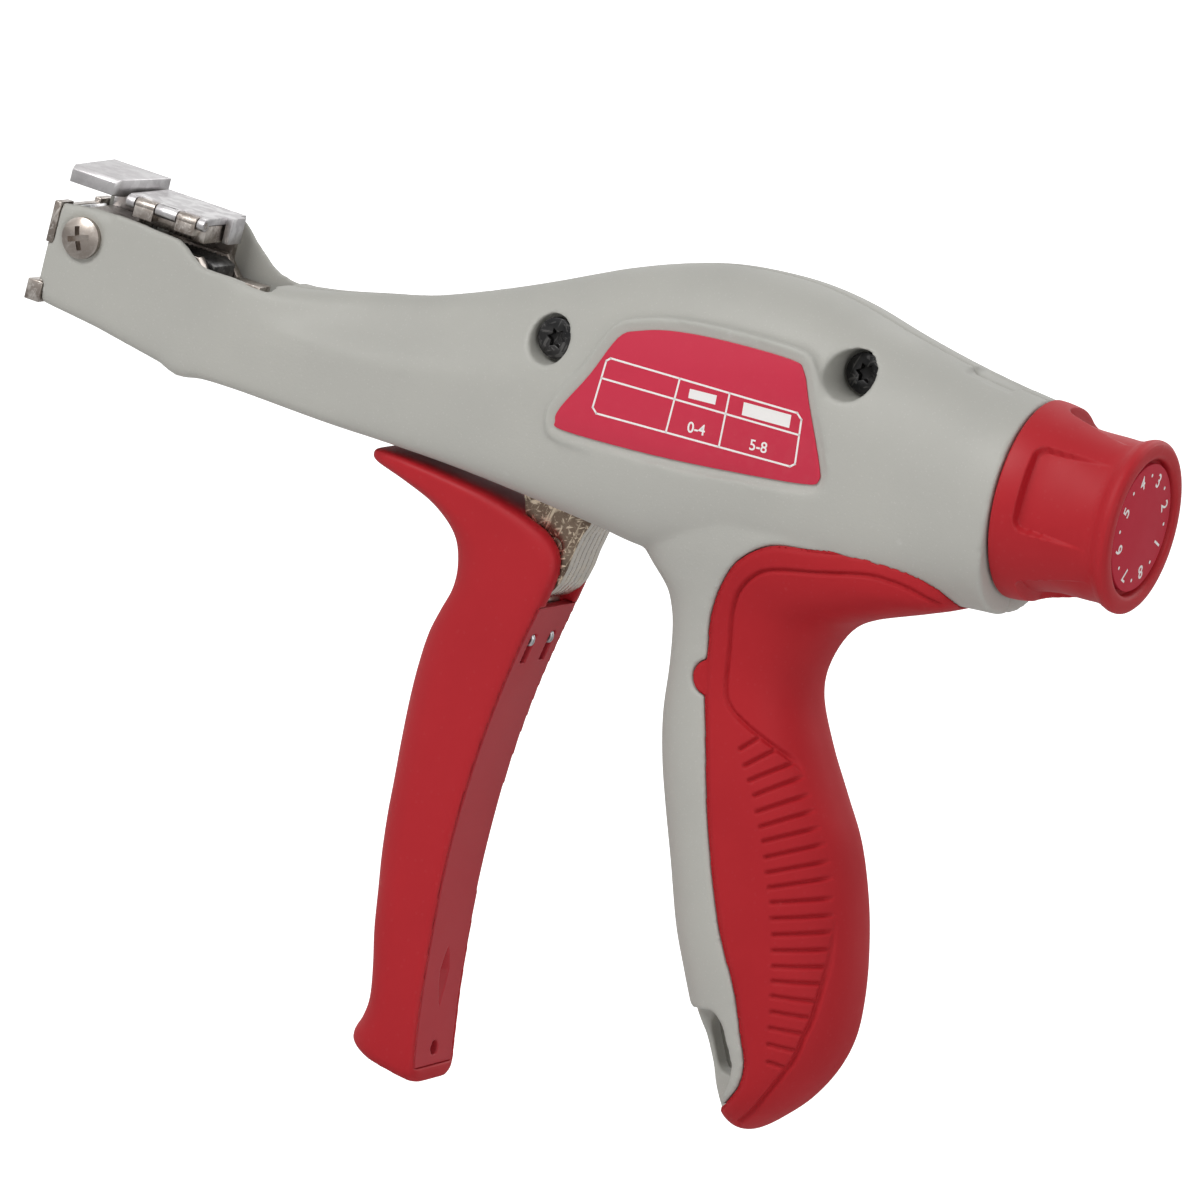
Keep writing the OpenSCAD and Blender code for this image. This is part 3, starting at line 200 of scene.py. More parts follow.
def ease(v: np.ndarray) -> np.ndarray:
    """Takes values from 0 to 1 in a smooth step, and holds them outside it."""
    v = np.clip(v, 0, 1)
    return v * v * (3 - 2 * v)


def tidy_normals(obj: Piece, gap: float = 1e-7, flat: float = 0.0) -> None:
    """Merges doubled points and turns the faces outwards.

    Args:
        obj: The piece.
        gap: Points nearer than this become one, in metres.
        flat: Faces that meet at less than this many degrees become one; 0 keeps all.
    """
    bm = bmesh.new()
    bm.from_mesh(obj.data)
    bmesh.ops.remove_doubles(bm, verts=bm.verts, dist=gap)
    if flat:
        bmesh.ops.dissolve_limit(
            bm, angle_limit=math.radians(flat), verts=bm.verts, edges=bm.edges
        )
    bmesh.ops.recalc_face_normals(bm, faces=bm.faces)
    bm.to_mesh(obj.data)
    bm.free()


def loft(name: str, sections: list[np.ndarray]) -> Piece:
    """A closed solid through sections that have the same number of points."""
    n, m = len(sections), len(sections[0])
    faces: list[tuple[int, ...]] = [tuple(range(m)), tuple(range((n - 1) * m, n * m))]
    for i in range(n - 1):
        for k in range(m):
            j = (k + 1) % m
            faces.append((i * m + k, i * m + j, (i + 1) * m + j, (i + 1) * m + k))
    obj = new_object(name, np.vstack(sections), faces)
    tidy_normals(obj)
    return obj


def prism(name: str, outline: Outline, y0: float, y1: float) -> Piece:
    """A side view outline (x, z) given a thickness across the tool."""
    n = len(outline)
    verts = [(x, y0, z) for x, z in outline] + [(x, y1, z) for x, z in outline]
    faces: list[tuple[int, ...]] = [tuple(range(n)), tuple(range(n, 2 * n))]
    faces += [(i, (i + 1) % n, n + (i + 1) % n, n + i) for i in range(n)]
    obj = new_object(name, np.array(verts), faces)
    tidy_normals(obj)
    return obj


def block(name: str, low: Point3, high: Point3) -> Piece:
    """A box between two corners."""
    outline = [(low[0], low[2]), (high[0], low[2]), (high[0], high[2]), (low[0], high[2])]
    return prism(name, outline, low[1], high[1])


def disc_outline(x: float, z: float, r: float, count: int = 64) -> Outline:
    """Points of a circle in the side view."""
    a = [2 * math.pi * i / count for i in range(count)]
    return [(x + r * math.cos(v), z + r * math.sin(v)) for v in a]


def lathe(name: str, profile: Outline, frame: Matrix, count: int = 96) -> Piece:
    """Turns a profile round the X axis of a frame.

    Args:
        name: Name of the piece.
        profile: Points (along, radius) in millimetres, from axis to axis.
        frame: Where the axis lies, in millimetres.
        count: Steps round.

    Returns:
        The closed solid.
    """
    a = 2 * np.pi * np.arange(count) / count
    rings = []
    for along, radius in profile:
        r = max(radius, 1e-4)
        rings.append(np.column_stack([np.full(count, along), r * np.cos(a), r * np.sin(a)]))
    obj = loft(name, rings)
    move(obj, frame)
    return obj


def move(obj: Piece, frame: Matrix) -> None:
    """Moves a piece's mesh by a frame given in millimetres."""
    m = frame.copy()
    m.translation = m.translation * MM
    obj.data.transform(m)


def discard(obj: Piece) -> None:
    """Removes a helper and its mesh."""
    mesh = obj.data
    bpy.data.objects.remove(obj)
    bpy.data.meshes.remove(mesh)


def bake_modifiers(obj: Piece) -> None:
    """Turns the modifiers of a piece into its mesh."""
    graph = bpy.context.evaluated_depsgraph_get()
    graph.update()
    fresh = bpy.data.meshes.new_from_object(obj.evaluated_get(graph), depsgraph=graph)
    obj.modifiers.clear()
    old = obj.data
    obj.data = fresh
    fresh.name = obj.name
    if old.users == 0:
        bpy.data.meshes.remove(old)


def combine(obj: Piece, tool: Piece, how: Boolean) -> None:
    """Joins, cuts or keeps with a tool, and removes the tool."""
    mod = obj.modifiers.new("shape", "BOOLEAN")
    mod.operation = how.value
    mod.solver = "MANIFOLD"
    mod.object = tool
    bake_modifiers(obj)
    discard(tool)


def cut(obj: Piece, *tools: Piece) -> None:
    """Cuts tools out of a piece."""
    for tool in tools:
        combine(obj, tool, Boolean.CUT)


def melt(obj: Piece, voxel: float, passes: int) -> None:
    """Gives a moulded piece even, soft-edged skin.

    Args:
        obj: The piece, a closed solid.
        voxel: Size of the even faces, in millimetres.
        passes: Smoothing passes, which set how round the edges become.
    """
    remesh = obj.modifiers.new("skin", "REMESH")
    remesh.mode = "VOXEL"
    remesh.voxel_size = voxel * MM
    remesh.use_smooth_shade = True
    soft = obj.modifiers.new("soft", "SMOOTH")
    soft.factor = 0.5
    soft.iterations = passes
    bake_modifiers(obj)
    smooth(obj)


def smooth(obj: Piece) -> None:
    """Smooth shading all over."""
    for poly in obj.data.polygons:
        poly.use_smooth = True


def shade(obj: Piece, degrees: float = 35.0) -> None:
    """Smooth shading with edges sharper than an angle left crisp."""
    smooth(obj)
    obj.data.set_sharp_from_angle(angle=math.radians(degrees))


def break_edges(obj: Piece, width: float, degrees: float) -> None:
    """Rounds the edges sharper than an angle by a width in millimetres."""
    bevel = obj.modifiers.new("edge", "BEVEL")
    bevel.width, bevel.segments = width * MM, 2
    bevel.limit_method, bevel.angle_limit = "ANGLE", math.radians(degrees)
    bake_modifiers(obj)


def softened(source: Piece, width: float, trim: Piece | None = None) -> Piece:
    """A copy of a frame piece with its edges broken, as stamped and cast parts have them.

    Args:
        source: The frame piece.
        width: Width of the broken edge in millimetres.
        trim: Solid to which the copy is cut back first, if any.

    Returns:
        The copy, which replaces the frame piece.
    """
    obj = bpy.data.objects.new(f"{source.name}_finished", source.data.copy())
    bpy.context.scene.collection.objects.link(obj)
    obj.data.materials.clear()
    if trim is not None:
        tidy_normals(obj)
        combine(obj, trim, Boolean.KEEP)
    tidy_normals(obj, gap=2e-6, flat=1.0)
    break_edges(obj, width, degrees=38)
    shade(obj, degrees=40)
    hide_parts(source.name)
    return obj


# ---------------------------------------------------------------- finishes


def plug(tree: bpy.types.NodeTree, socket: Socket, value: object) -> None:
    """Links a socket to another one, or sets its number, vector or colour."""
    if isinstance(value, Socket):
        tree.links.new(value, socket)
    else:
        socket.default_value = value


class Nodes:
    """Helpers that add nodes to a tree."""

    tree: bpy.types.NodeTree

    def node(
        self, kind: str, feeds: dict[str | int, object], **values: object
    ) -> bpy.types.NodeOutputs:
        """Adds a node.

        Args:
            kind: Type of the node.
            feeds: What goes into its inputs: a socket, or a value to set.
            **values: Its own settings.

        Returns:
            The node's outputs.
        """
        n = self.tree.nodes.new(kind)
        for key, value in values.items():
            setattr(n, key, value)
        for key, value in feeds.items():
            plug(self.tree, n.inputs[key], value)
        return n.outputs

    def calc(self, operation: str, *values: object) -> Socket:
        """Works on one value or two."""
        return self.node("ShaderNodeMath", dict(enumerate(values)), operation=operation)["Value"]


class Group(Nodes):
    """A shader node group that is built once and placed in many materials."""

    def __init__(self, name: str, numbers: dict[str, float], results: tuple[str, ...]) -> None:
        """Starts a group with a vector and numbers going in, and results coming out."""
        self.tree = bpy.data.node_groups.new(name, "ShaderNodeTree")
        self.socket("Vector", "INPUT", "NodeSocketVector")
        for key, default in numbers.items():
            self.socket(key, "INPUT", "NodeSocketFloat").default_value = default
        for key in results:
            self.socket(key, "OUTPUT", "NodeSocketFloat")
        self.inp = self.tree.nodes.new("NodeGroupInput").outputs
        self.out = self.tree.nodes.new("NodeGroupOutput").inputs

    def socket(self, name: str, in_out: str, kind: str) -> bpy.types.NodeTreeInterfaceSocket:
        """Adds a socket to the group's interface."""
        return self.tree.interface.new_socket(name=name, in_out=in_out, socket_type=kind)

    def noise(self, scale: object, detail: float, vector: Socket | None = None) -> Socket:
        """Noise in the group's own space, or in that of another vector."""
        vector = self.inp["Vector"] if vector is None else vector
        feeds = {"Vector": vector, "Scale": scale, "Detail": detail}
        return self.node("ShaderNodeTexNoise", feeds)["Fac"]

    def ramp(self, source: Socket, low: float, high: float) -> Socket:
        """Stretches the values between two limits to 0 and 1."""
        feeds = {"Value": source, "From Min": low, "From Max": high}
        return self.node("ShaderNodeMapRange", feeds, interpolation_type="SMOOTHSTEP")["Result"]

    def close(self, **results: Socket) -> bpy.types.NodeTree:
        """Links the results and hands over the finished group."""
        for key, source in results.items():
            self.tree.links.new(source, self.out[key])
        return self.tree


def grain_group() -> bpy.types.NodeTree:
    """Fine moulded or sprayed grain: a height and a slow tone change."""
    g = Group("moulded grain", {"Grain": 1800.0, "Cloud": 60.0}, ("Height", "Tone"))
    fine = g.noise(g.inp["Grain"], 3.0)
    slow = g.noise(g.inp["Cloud"], 4.0)
    return g.close(Height=fine, Tone=g.ramp(slow, 0.3, 0.7))


def fleck_group() -> bpy.types.NodeTree:
    """Small sparse flecks, as in a speckled coat or settled dust."""
    g = Group("flecks", {"Scale": 1400.0, "Size": 0.16}, ("Mask",))
    feeds = {"Vector": g.inp["Vector"], "Scale": g.inp["Scale"]}
    cells = g.node("ShaderNodeTexVoronoi", feeds)
    spots = g.calc("LESS_THAN", cells["Distance"], g.inp["Size"])
    draw = g.node("ShaderNodeSeparateColor", {"Color": cells["Color"]})["Red"]
    some = g.calc("GREATER_THAN", draw, 0.55)
    return g.close(Mask=g.calc("MULTIPLY", spots, some))


def scratch_group() -> bpy.types.NodeTree:
    """Fine scratches in three directions and blotches of tarnish on worked steel."""
    g = Group("scratches", {"Fineness": 900.0}, ("Mask", "Height", "Tarnish"))
    lines = None
    for angle, stretch in ((0.35, 0.05), (-0.9, 0.07), (1.3, 0.06)):
        turned = g.node(
            "ShaderNodeMapping", {"Vector": g.inp["Vector"], "Rotation": (0.2, angle, 0.3)}
        )["Vector"]
        drawn = g.node(
            "ShaderNodeMapping", {"Vector": turned, "Scale": (stretch, 1.0, 1.0)}
        )["Vector"]
        found = g.ramp(g.noise(g.inp["Fineness"], 2.0, drawn), 0.60, 0.70)
        lines = found if lines is None else g.calc("MAXIMUM", lines, found)
    tarnish = g.ramp(g.noise(130.0, 5.0), 0.38, 0.66)
    return g.close(Mask=lines, Height=lines, Tarnish=tarnish)


def wear_group() -> bpy.types.NodeTree:
    """Edges rubbed by handling, broken up by noise."""
    g = Group("edge wear", {"Start": 0.54}, ("Mask",))
    sharp = g.node("ShaderNodeNewGeometry", {})["Pointiness"]
    feeds = {"Value": sharp, "From Min": g.inp["Start"], "From Max": 0.62}
    edge = g.node("ShaderNodeMapRange", feeds)["Result"]
    return g.close(Mask=g.calc("MULTIPLY", edge, g.ramp(g.noise(420.0, 4.0), 0.42, 0.6)))


class Kit:
    """The node groups that the finishes share."""

    def __init__(self) -> None:
        """Builds each group once."""
        self.grain = grain_group()
        self.flecks = fleck_group()
        self.scratches = scratch_group()
        self.wear = wear_group()


class Recipe(Nodes):
    """A material in the making, with helpers for its nodes."""

    def __init__(self, name: str) -> None:
        """Starts a material with its Principled shader and object coordinates."""
        self.material = bpy.data.materials.new(name)
        self.material.use_nodes = True
        self.tree = self.material.node_tree
        self.shader = self.tree.nodes["Principled BSDF"]
        self.place = self.tree.nodes.new("ShaderNodeTexCoord").outputs

    def put(self, group: bpy.types.NodeTree, **numbers: float) -> bpy.types.NodeOutputs:
        """Places a shared group and sets its inputs."""
        feeds = {"Vector": self.place["Object"], **numbers}
        return self.node("ShaderNodeGroup", feeds, node_tree=group)

    def mix(self, mask: Socket, a: object, b: object, share: float = 1.0) -> Socket:
        """Mixes two colours by a mask.

        Args:
            mask: Where the second colour shows.
            a: First colour or socket.
            b: Second colour or socket.
            share: Most of the second colour that shows.

        Returns:
            The mixed colour's socket.
        """
        part = self.calc("MULTIPLY", mask, share)
        a, b = ((*v, 1.0) if isinstance(v, tuple) else v for v in (a, b))
        return self.node("ShaderNodeMix", {0: part, 6: a, 7: b}, data_type="RGBA")[2]

    def spread(self, source: Socket, low: float, high: float) -> Socket:
        """Maps 0 to 1 onto two limits."""
        feeds = {"Value": source, "To Min": low, "To Max": high}
        return self.node("ShaderNodeMapRange", feeds)["Result"]

    def edgewise(self) -> Socket:
        """Where the surface doesn't face across the tool."""
        y = self.node("ShaderNodeSeparateXYZ", {"Vector": self.place["Normal"]})["Y"]
        feeds = {"Value": self.calc("ABSOLUTE", y), "From Min": 0.8, "From Max": 0.5}
        return self.node("ShaderNodeMapRange", feeds)["Result"]

    def bump(self, height: Socket, strength: float, depth: float) -> Socket:
        """The normal that a height gives, with its depth in millimetres."""
        feeds = {"Height": height, "Strength": strength, "Distance": depth * MM}
        return self.node("ShaderNodeBump", feeds)["Normal"]

    def close(self, feeds: dict[str, object]) -> bpy.types.Material:
        """Feeds the shader and hands over the finished material."""
        for key, value in feeds.items():
            plug(self.tree, self.shader.inputs[key], value)
        return self.material


@dataclass(frozen=True)
class Moulded:
    """A moulded or sprayed plastic or rubber finish."""

    name: str
    color: Point3
    shade: Point3
    fleck: Point3
    rough: Point2 = (0.42, 0.55)
    grain: float = 2400.0
    cloud: float = 45.0
    depth: float = 0.006
    strength: float = 0.1
    shade_share: float = 0.55
    fleck_scale: float = 900.0
    fleck_size: float = 0.22
    fleck_share: float = 0.05
    worn: Point3 = (0.6, 0.55, 0.5)
    wear_start: float = 0.53
    wear_share: float = 0.1
    specular: float = 0.5
    coat: float = 0.0
    coat_rough: float = 0.25

    def build(self, kit: Kit) -> bpy.types.Material:
        """Makes the material from the shared groups."""
        r = Recipe(self.name)
        grain = r.put(kit.grain, Grain=self.grain, Cloud=self.cloud)
        flecks = r.put(kit.flecks, Scale=self.fleck_scale, Size=self.fleck_size)
        wear = r.put(kit.wear, Start=self.wear_start)
        tone = r.mix(grain["Tone"], self.color, self.shade, self.shade_share)
        spotted = r.mix(flecks["Mask"], tone, self.fleck, self.fleck_share)
        return r.close({
            "Base Color": r.mix(wear["Mask"], spotted, self.worn, self.wear_share),
            "Roughness": r.spread(grain["Tone"], *self.rough),
            "Normal": r.bump(grain["Height"], self.strength, self.depth),
            "Specular IOR Level": self.specular,
            "Coat Weight": self.coat,
            "Coat Roughness": self.coat_rough,
        })


@dataclass(frozen=True)
class Steel:
    """Worked metal with scratches, tarnish and rubbed edges."""

    name: str
    color: Point3
    tarnish: Point3
    bright: Point3
    rough: Point2 = (0.28, 0.5)
    fineness: float = 900.0
    depth: float = 0.02
    strength: float = 0.25
    metallic: float = 1.0
    tarnish_share: float = 0.7
    wear_start: float = 0.52
    wear_share: float = 0.8
    lined: float = 0.55
    edge: Point3 | None = None
    edge_share: float = 0.9
    deep: float = 0.45

    def build(self, kit: Kit) -> bpy.types.Material:
        """Makes the material from the shared groups."""
        r = Recipe(self.name)
        marks = r.put(kit.scratches, Fineness=self.fineness)
        wear = r.put(kit.wear, Start=self.wear_start)
        base = r.mix(marks["Tarnish"], self.color, self.tarnish, self.tarnish_share)
        lined = r.mix(marks["Mask"], base, self.bright, self.lined)
        if self.edge is not None:
            coarse = r.put(kit.scratches, Fineness=self.deep * self.fineness)
            lined = r.mix(coarse["Mask"], lined, self.bright, self.lined)
            lined = r.mix(r.edgewise(), lined, self.edge, self.edge_share)
        return r.close({
            "Base Color": r.mix(wear["Mask"], lined, self.bright, self.wear_share),
            "Roughness": r.spread(marks["Tarnish"], *self.rough),
            "Normal": r.bump(marks["Height"], self.strength, self.depth),
            "Metallic": self.metallic,
        })


FINISHES = {
    "casing": Moulded(
        "casing_grey", (0.44, 0.435, 0.4), (0.405, 0.401, 0.372), (0.56, 0.555, 0.53),
        rough=(0.46, 0.58), grain=2100.0, depth=0.08, strength=0.6, fleck_scale=1500.0,
        fleck_share=0.22, worn=(0.52, 0.52, 0.49), wear_share=0.35, specular=0.35,
    ),
    "rubber": Moulded(
        "grip_rubber", (0.41, 0.012, 0.018), (0.36, 0.01, 0.016), (0.44, 0.05, 0.06),
        rough=(0.58, 0.7), grain=2600.0, depth=0.012, strength=0.3, fleck_share=0.1,
        worn=(0.46, 0.05, 0.055), wear_share=0.3, specular=0.22,
    ),
    "red": Moulded(
        "red_plastic", (0.425, 0.012, 0.019), (0.375, 0.01, 0.016), (0.48, 0.07, 0.075),
        rough=(0.46, 0.58), grain=1700.0, depth=0.02, strength=0.3, fleck_scale=760.0,
        fleck_share=0.1, worn=(0.52, 0.1, 0.09), wear_share=0.35, specular=0.26,
    ),
    "strip": Moulded(
        "strip_red", (0.43, 0.03, 0.04), (0.405, 0.026, 0.036), (0.46, 0.06, 0.065),
        rough=(0.4, 0.46), fleck_share=0.06, worn=(0.48, 0.08, 0.08), wear_share=0.15, specular=0.2,
    ),
    "dial": Moulded(
        "dial_film", (0.48, 0.026, 0.048), (0.45, 0.022, 0.042), (0.5, 0.07, 0.09),
        rough=(0.5, 0.6), worn=(0.5, 0.04, 0.06), specular=0.12,
    ),
    "label": Moulded(
        "label_film", (0.56, 0.026, 0.062), (0.52, 0.022, 0.052), (0.6, 0.1, 0.12),
        rough=(0.32, 0.4), strength=0.2, specular=0.3, coat=0.1,
    ),
    "print": Moulded(
        "white_print", (0.86, 0.84, 0.82), (0.8, 0.77, 0.75), (0.7, 0.6, 0.6), rough=(0.4, 0.5),
        grain=2600.0, depth=0.004, fleck_scale=2400.0, fleck_share=0.15, wear_share=0.0,
    ),
    "steel": Steel(
        "worn_steel", (0.34, 0.3, 0.27), (0.17, 0.14, 0.12), (0.66, 0.62, 0.58), fineness=2500.0,
    ),
    "nickel": Steel(
        "nickel_screw", (0.44, 0.39, 0.35), (0.3, 0.26, 0.23), (0.62, 0.58, 0.54),
        rough=(0.24, 0.34), fineness=1800.0, strength=0.05, lined=0.2,
    ),
    "lever": Steel(
        "blanked_steel", (0.24, 0.175, 0.13), (0.08, 0.056, 0.044), (0.84, 0.7, 0.53),
        rough=(0.26, 0.42), fineness=2000.0, strength=0.4, tarnish_share=0.85, lined=0.85,
        edge=(0.7, 0.66, 0.6),
    ),
    "zinc": Steel(
        "zinc_cast", (0.52, 0.505, 0.51), (0.42, 0.4, 0.41), (0.72, 0.71, 0.71), rough=(0.3, 0.42),
        fineness=3800.0, strength=0.06, tarnish_share=0.6, lined=0.2,
    ),
    "black": Steel(
        "black_steel", (0.02, 0.02, 0.021), (0.035, 0.033, 0.032), (0.16, 0.155, 0.15),
        rough=(0.3, 0.45), fineness=1400.0, strength=0.15, metallic=0.7,
    ),
    "blade": Steel("blade_steel", (0.6, 0.6, 0.6), (0.5, 0.49, 0.48), (0.85, 0.85, 0.85)),
    "wire": Steel(
        "spring_wire", (0.52, 0.53, 0.55), (0.36, 0.35, 0.34), (0.8, 0.8, 0.82), fineness=2000.0,
        strength=0.1,
    ),
    "brass": Steel("bearing_brass", (0.6, 0.42, 0.15), (0.4, 0.27, 0.11), (0.85, 0.68, 0.36)),
}


class Workshop:
    """Dresses pieces: finish, material slot and body in one call."""

    def __init__(self) -> None:
        """Builds every finish once."""
        kit = Kit()
        self.materials = {key: finish.build(kit) for key, finish in FINISHES.items()}
        self.count = 0

    def dress(self, obj: Piece, finish: str, body: str) -> None:
        """Gives a piece its finish and lets it ride on a body.

        Args:
            obj: The piece.
            finish: Key of the finish.
            body: Body of the frame that carries it.
        """
        obj.data.materials.clear()
        obj.data.materials.append(self.materials[finish])
        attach(obj, body)
        self.count += 1
        LOG.info("%s: %s on %s", obj.name, finish, body)

    def keep(self, node: Piece, finish: str) -> None:
        """Gives a frame piece whose shape stays its finish."""
        node.data.materials.clear()
        node.data.materials.append(self.materials[finish])
        shade(node, degrees=30)
        LOG.info("%s keeps its shape: %s", node.name, finish)


# ---------------------------------------------------------------- the tool's sizes


@dataclass
class Sizes:
    """The sizes that more than one sub-assembly uses, in millimetres."""

    barrel_len: float = 195.5
    crest_h: float = 39.7
    belly_h: float = 11.6
    body_w: float = 37.0
    wall: float = 2.2
    rear_wall: float = 5.5
    nose_len: float = 48.0
    nose_w: float = 19.4
    channel_w: float = 15.8
    horn_h: float = 16.6
    plate_t: float = 1.4
    handle_drop: float = 97.6
    handle_reach: float = 70.0
    handle_w: float = 29.2
    trigger_drop: float = 110.4
    trigger_span: float = 42.5
    trigger_w: float = 17.0
    stack_w: float = 11.0
    lever_arm: float = 21.0
    knob_d: float = 35.6
    knob_len: float = 21.6
    knob_tilt: float = 3.5
    drawbar_t: float = 3.4
    eye_half: float = 5.8
    over: float = 40.0

    def run_x(self, share: float) -> float:
        """X at a share of the body's run behind the nose."""
        return self.nose_len + share * (self.barrel_len - self.nose_len)

    @property
    def pivot(self) -> Point2:
        """The trigger's pivot (x, z)."""
        return (self.run_x(0.3783), 0.428 * self.crest_h)

    @property
    def rear_screw(self) -> Point2:
        """The rear casing screw (x, z)."""
        return (self.run_x(0.778), 0.725 * self.crest_h)

    @property
    def nose_screw(self) -> Point2:
        """The nose screw (x, z)."""
        return (0.148 * self.nose_len, 0.373 * self.horn_h)

    @property
    def knob_frame(self) -> Matrix:
        """Frame of the knob's axis in millimetres: X runs back along it."""
        origin = Matrix.Translation((self.barrel_len, 0, 0.393 * self.crest_h))
        return origin @ Matrix.Rotation(math.radians(-self.knob_tilt), 4, "Y")

    def handle_at(self, p: Point2) -> Point2:
        """A point of the handle from its shares."""
        return (
            self.run_x(0.5) + p[0] * self.handle_reach,
            -self.belly_h - p[1] * self.handle_drop,
        )

    def trigger_at(self, x: float, z: float) -> np.ndarray:
        """A point of the trigger from its shares."""
        return np.array(
            [self.pivot[0] + x * self.trigger_span, -self.belly_h - z * self.trigger_drop]
        )


NOSE = np.array([
    [0.004, 0.672, 0.747, 0.99, 9, 0], [0.208, 0.759, 0.747, 0.995, 9, 0],
    [0.256, 0.784, 0.753, 0.995, 9, 0], [0.269, 0.79, 1, 0.995, 9, 0], [0.417, 0.888, 1, 1, 9, 0],
    [0.573, 0.991, 0.994, 1, 9, 0], [0.609, 1.05, 0.965, 1.003, 8, 0],
    [0.646, 1.095, 0.9, 1.005, 7, 0], [0.69, 1.08, 0.79, 1.01, 6, 0],
    [0.723, 1.04, 0.7, 1.015, 7, 0], [0.77, 1.01, 0.59, 1.02, 7, 0.01],
    [0.815, 1, 0.525, 1.025, 7, 0.02], [0.86, 0.995, 0.51, 1.035, 6.5, 0.04],
    [0.92, 0.99, 0.515, 1.04, 6, 0.07],
])
BODY = np.array([
    [0, 0.99, 0.222, 0.551, 9, 5, 0.5, 0.12], [0.05, 1, 0.262, 0.557, 9, 3.6, 0.5, 0.24],
    [0.11, 1.01, 0.32, 0.568, 8, 2.8, 0.48, 0.34], [0.17, 1, 0.378, 0.589, 7, 2.6, 0.46, 0.34],
    [0.22, 1, 0.448, 0.616, 6, 2.5, 0.45, 0.3], [0.27, 1, 0.526, 0.66, 5.5, 2.4, 0.44, 0.24],
    [0.33, 1.02, 0.627, 0.724, 5, 2.4, 0.44, 0.16], [0.38, 1.05, 0.718, 0.784, 4.6, 2.4, 0.44, 0.1],
    [0.43, 1.09, 0.806, 0.843, 4.3, 2.4, 0.45, 0.05],
    [0.49, 1.14, 0.892, 0.903, 4, 2.4, 0.46, 0.02], [0.55, 1.21, 0.957, 0.946, 3.8, 2.4, 0.48, 0],
    [0.61, 1.15, 0.9897, 0.973, 3.6, 2.4, 0.5, 0], [0.67, 1, 0.9993, 0.989, 3.4, 2.4, 0.5, 0],
    [0.73, 0.86, 0.977, 1, 3.3, 2.4, 0.5, 0], [0.8, 0.77, 0.924, 1, 3.1, 2.3, 0.5, 0],
    [0.87, 0.66, 0.879, 0.995, 2.9, 2.25, 0.5, 0], [0.94, 0.55, 0.849, 0.985, 2.6, 2.15, 0.5, 0],
    [1, 0.47, 0.831, 0.973, 2.4, 2.1, 0.5, 0], [1.03, 0.44, 0.824, 0.968, 2.4, 2.1, 0.5, 0],
])
HANDLE = np.array([
    [0, -0.02, -0.18, 0.9, -0.175, 1.02, 2.6, 5], [1, -0.015, -0.129, 0.96, -0.129, 1.1, 2.6, 5],
    [2, -0.005, -0.088, 0.985, -0.088, 1.15, 2.6, 5],
    [3, 0.008, -0.06, 0.978, -0.058, 1.15, 2.6, 4.5],
    [4, 0.042, -0.01, 0.9, -0.029, 1.11, 2.6, 3.5], [5, 0.112, 0.036, 0.739, 0.023, 1.03, 2.7, 2.8],
    [6, 0.186, 0.08, 0.658, 0.066, 0.973, 2.8, 2.4],
    [7, 0.22, 0.131, 0.618, 0.137, 0.925, 2.8, 2.3],
    [8, 0.241, 0.209, 0.622, 0.204, 0.904, 2.8, 2.3],
    [9, 0.256, 0.301, 0.682, 0.286, 0.925, 2.8, 2.3],
    [10, 0.286, 0.383, 0.754, 0.363, 0.96, 2.8, 2.3],
    [11, 0.325, 0.46, 0.825, 0.44, 0.986, 2.8, 2.3], [12, 0.379, 0.557, 0.882, 0.537, 1, 2.8, 2.3],
    [13, 0.434, 0.66, 0.918, 0.629, 1, 2.8, 2.3], [14, 0.48, 0.73, 0.938, 0.711, 0.973, 2.7, 2.3],
    [15, 0.538, 0.81, 0.941, 0.783, 0.93, 2.6, 2.3],
    [16, 0.581, 0.849, 0.918, 0.849, 0.877, 2.5, 2.3],
    [17, 0.618, 0.895, 0.872, 0.911, 0.79, 2.4, 2.3],
    [18, 0.639, 0.931, 0.818, 0.957, 0.67, 2.3, 2.3],
    [19, 0.664, 0.962, 0.768, 0.99, 0.48, 2.2, 2.2], [20, 0.689, 0.986, 0.726, 1, 0.2, 2, 2],
])
CORE = [
    (0.1, -0.05), (0.16, 0.02), (0.215, 0.08), (0.265, 0.16), (0.29, 0.24), (0.33, 0.34),
    (0.39, 0.45), (0.47, 0.58), (0.545, 0.7), (0.6, 0.8), (0.64, 0.87), (0.72, 0.91), (0.8, 0.87),
    (0.84, 0.76), (0.825, 0.64), (0.78, 0.54), (0.69, 0.42), (0.6, 0.3), (0.56, 0.2), (0.56, 0.1),
    (0.64, 0.03), (0.7, -0.05),
]
GRIP_EDGE = [
    (0.386, 0.023), (0.371, 0.088), (0.381, 0.145), (0.394, 0.203), (0.412, 0.25), (0.444, 0.321),
    (0.479, 0.398), (0.524, 0.489), (0.595, 0.609), (0.638, 0.667), (0.69, 0.732), (0.732, 0.808),
    (0.754, 0.853), (0.748, 0.899), (0.716, 0.94), (0.686, 0.972), (0.675, 1.06), (1.19, 1.06),
    (1.19, -0.109), (1.032, -0.089), (0.928, -0.119), (0.838, -0.132), (0.764, -0.128),
    (0.618, -0.098), (0.505, -0.079), (0.425, -0.034),
]
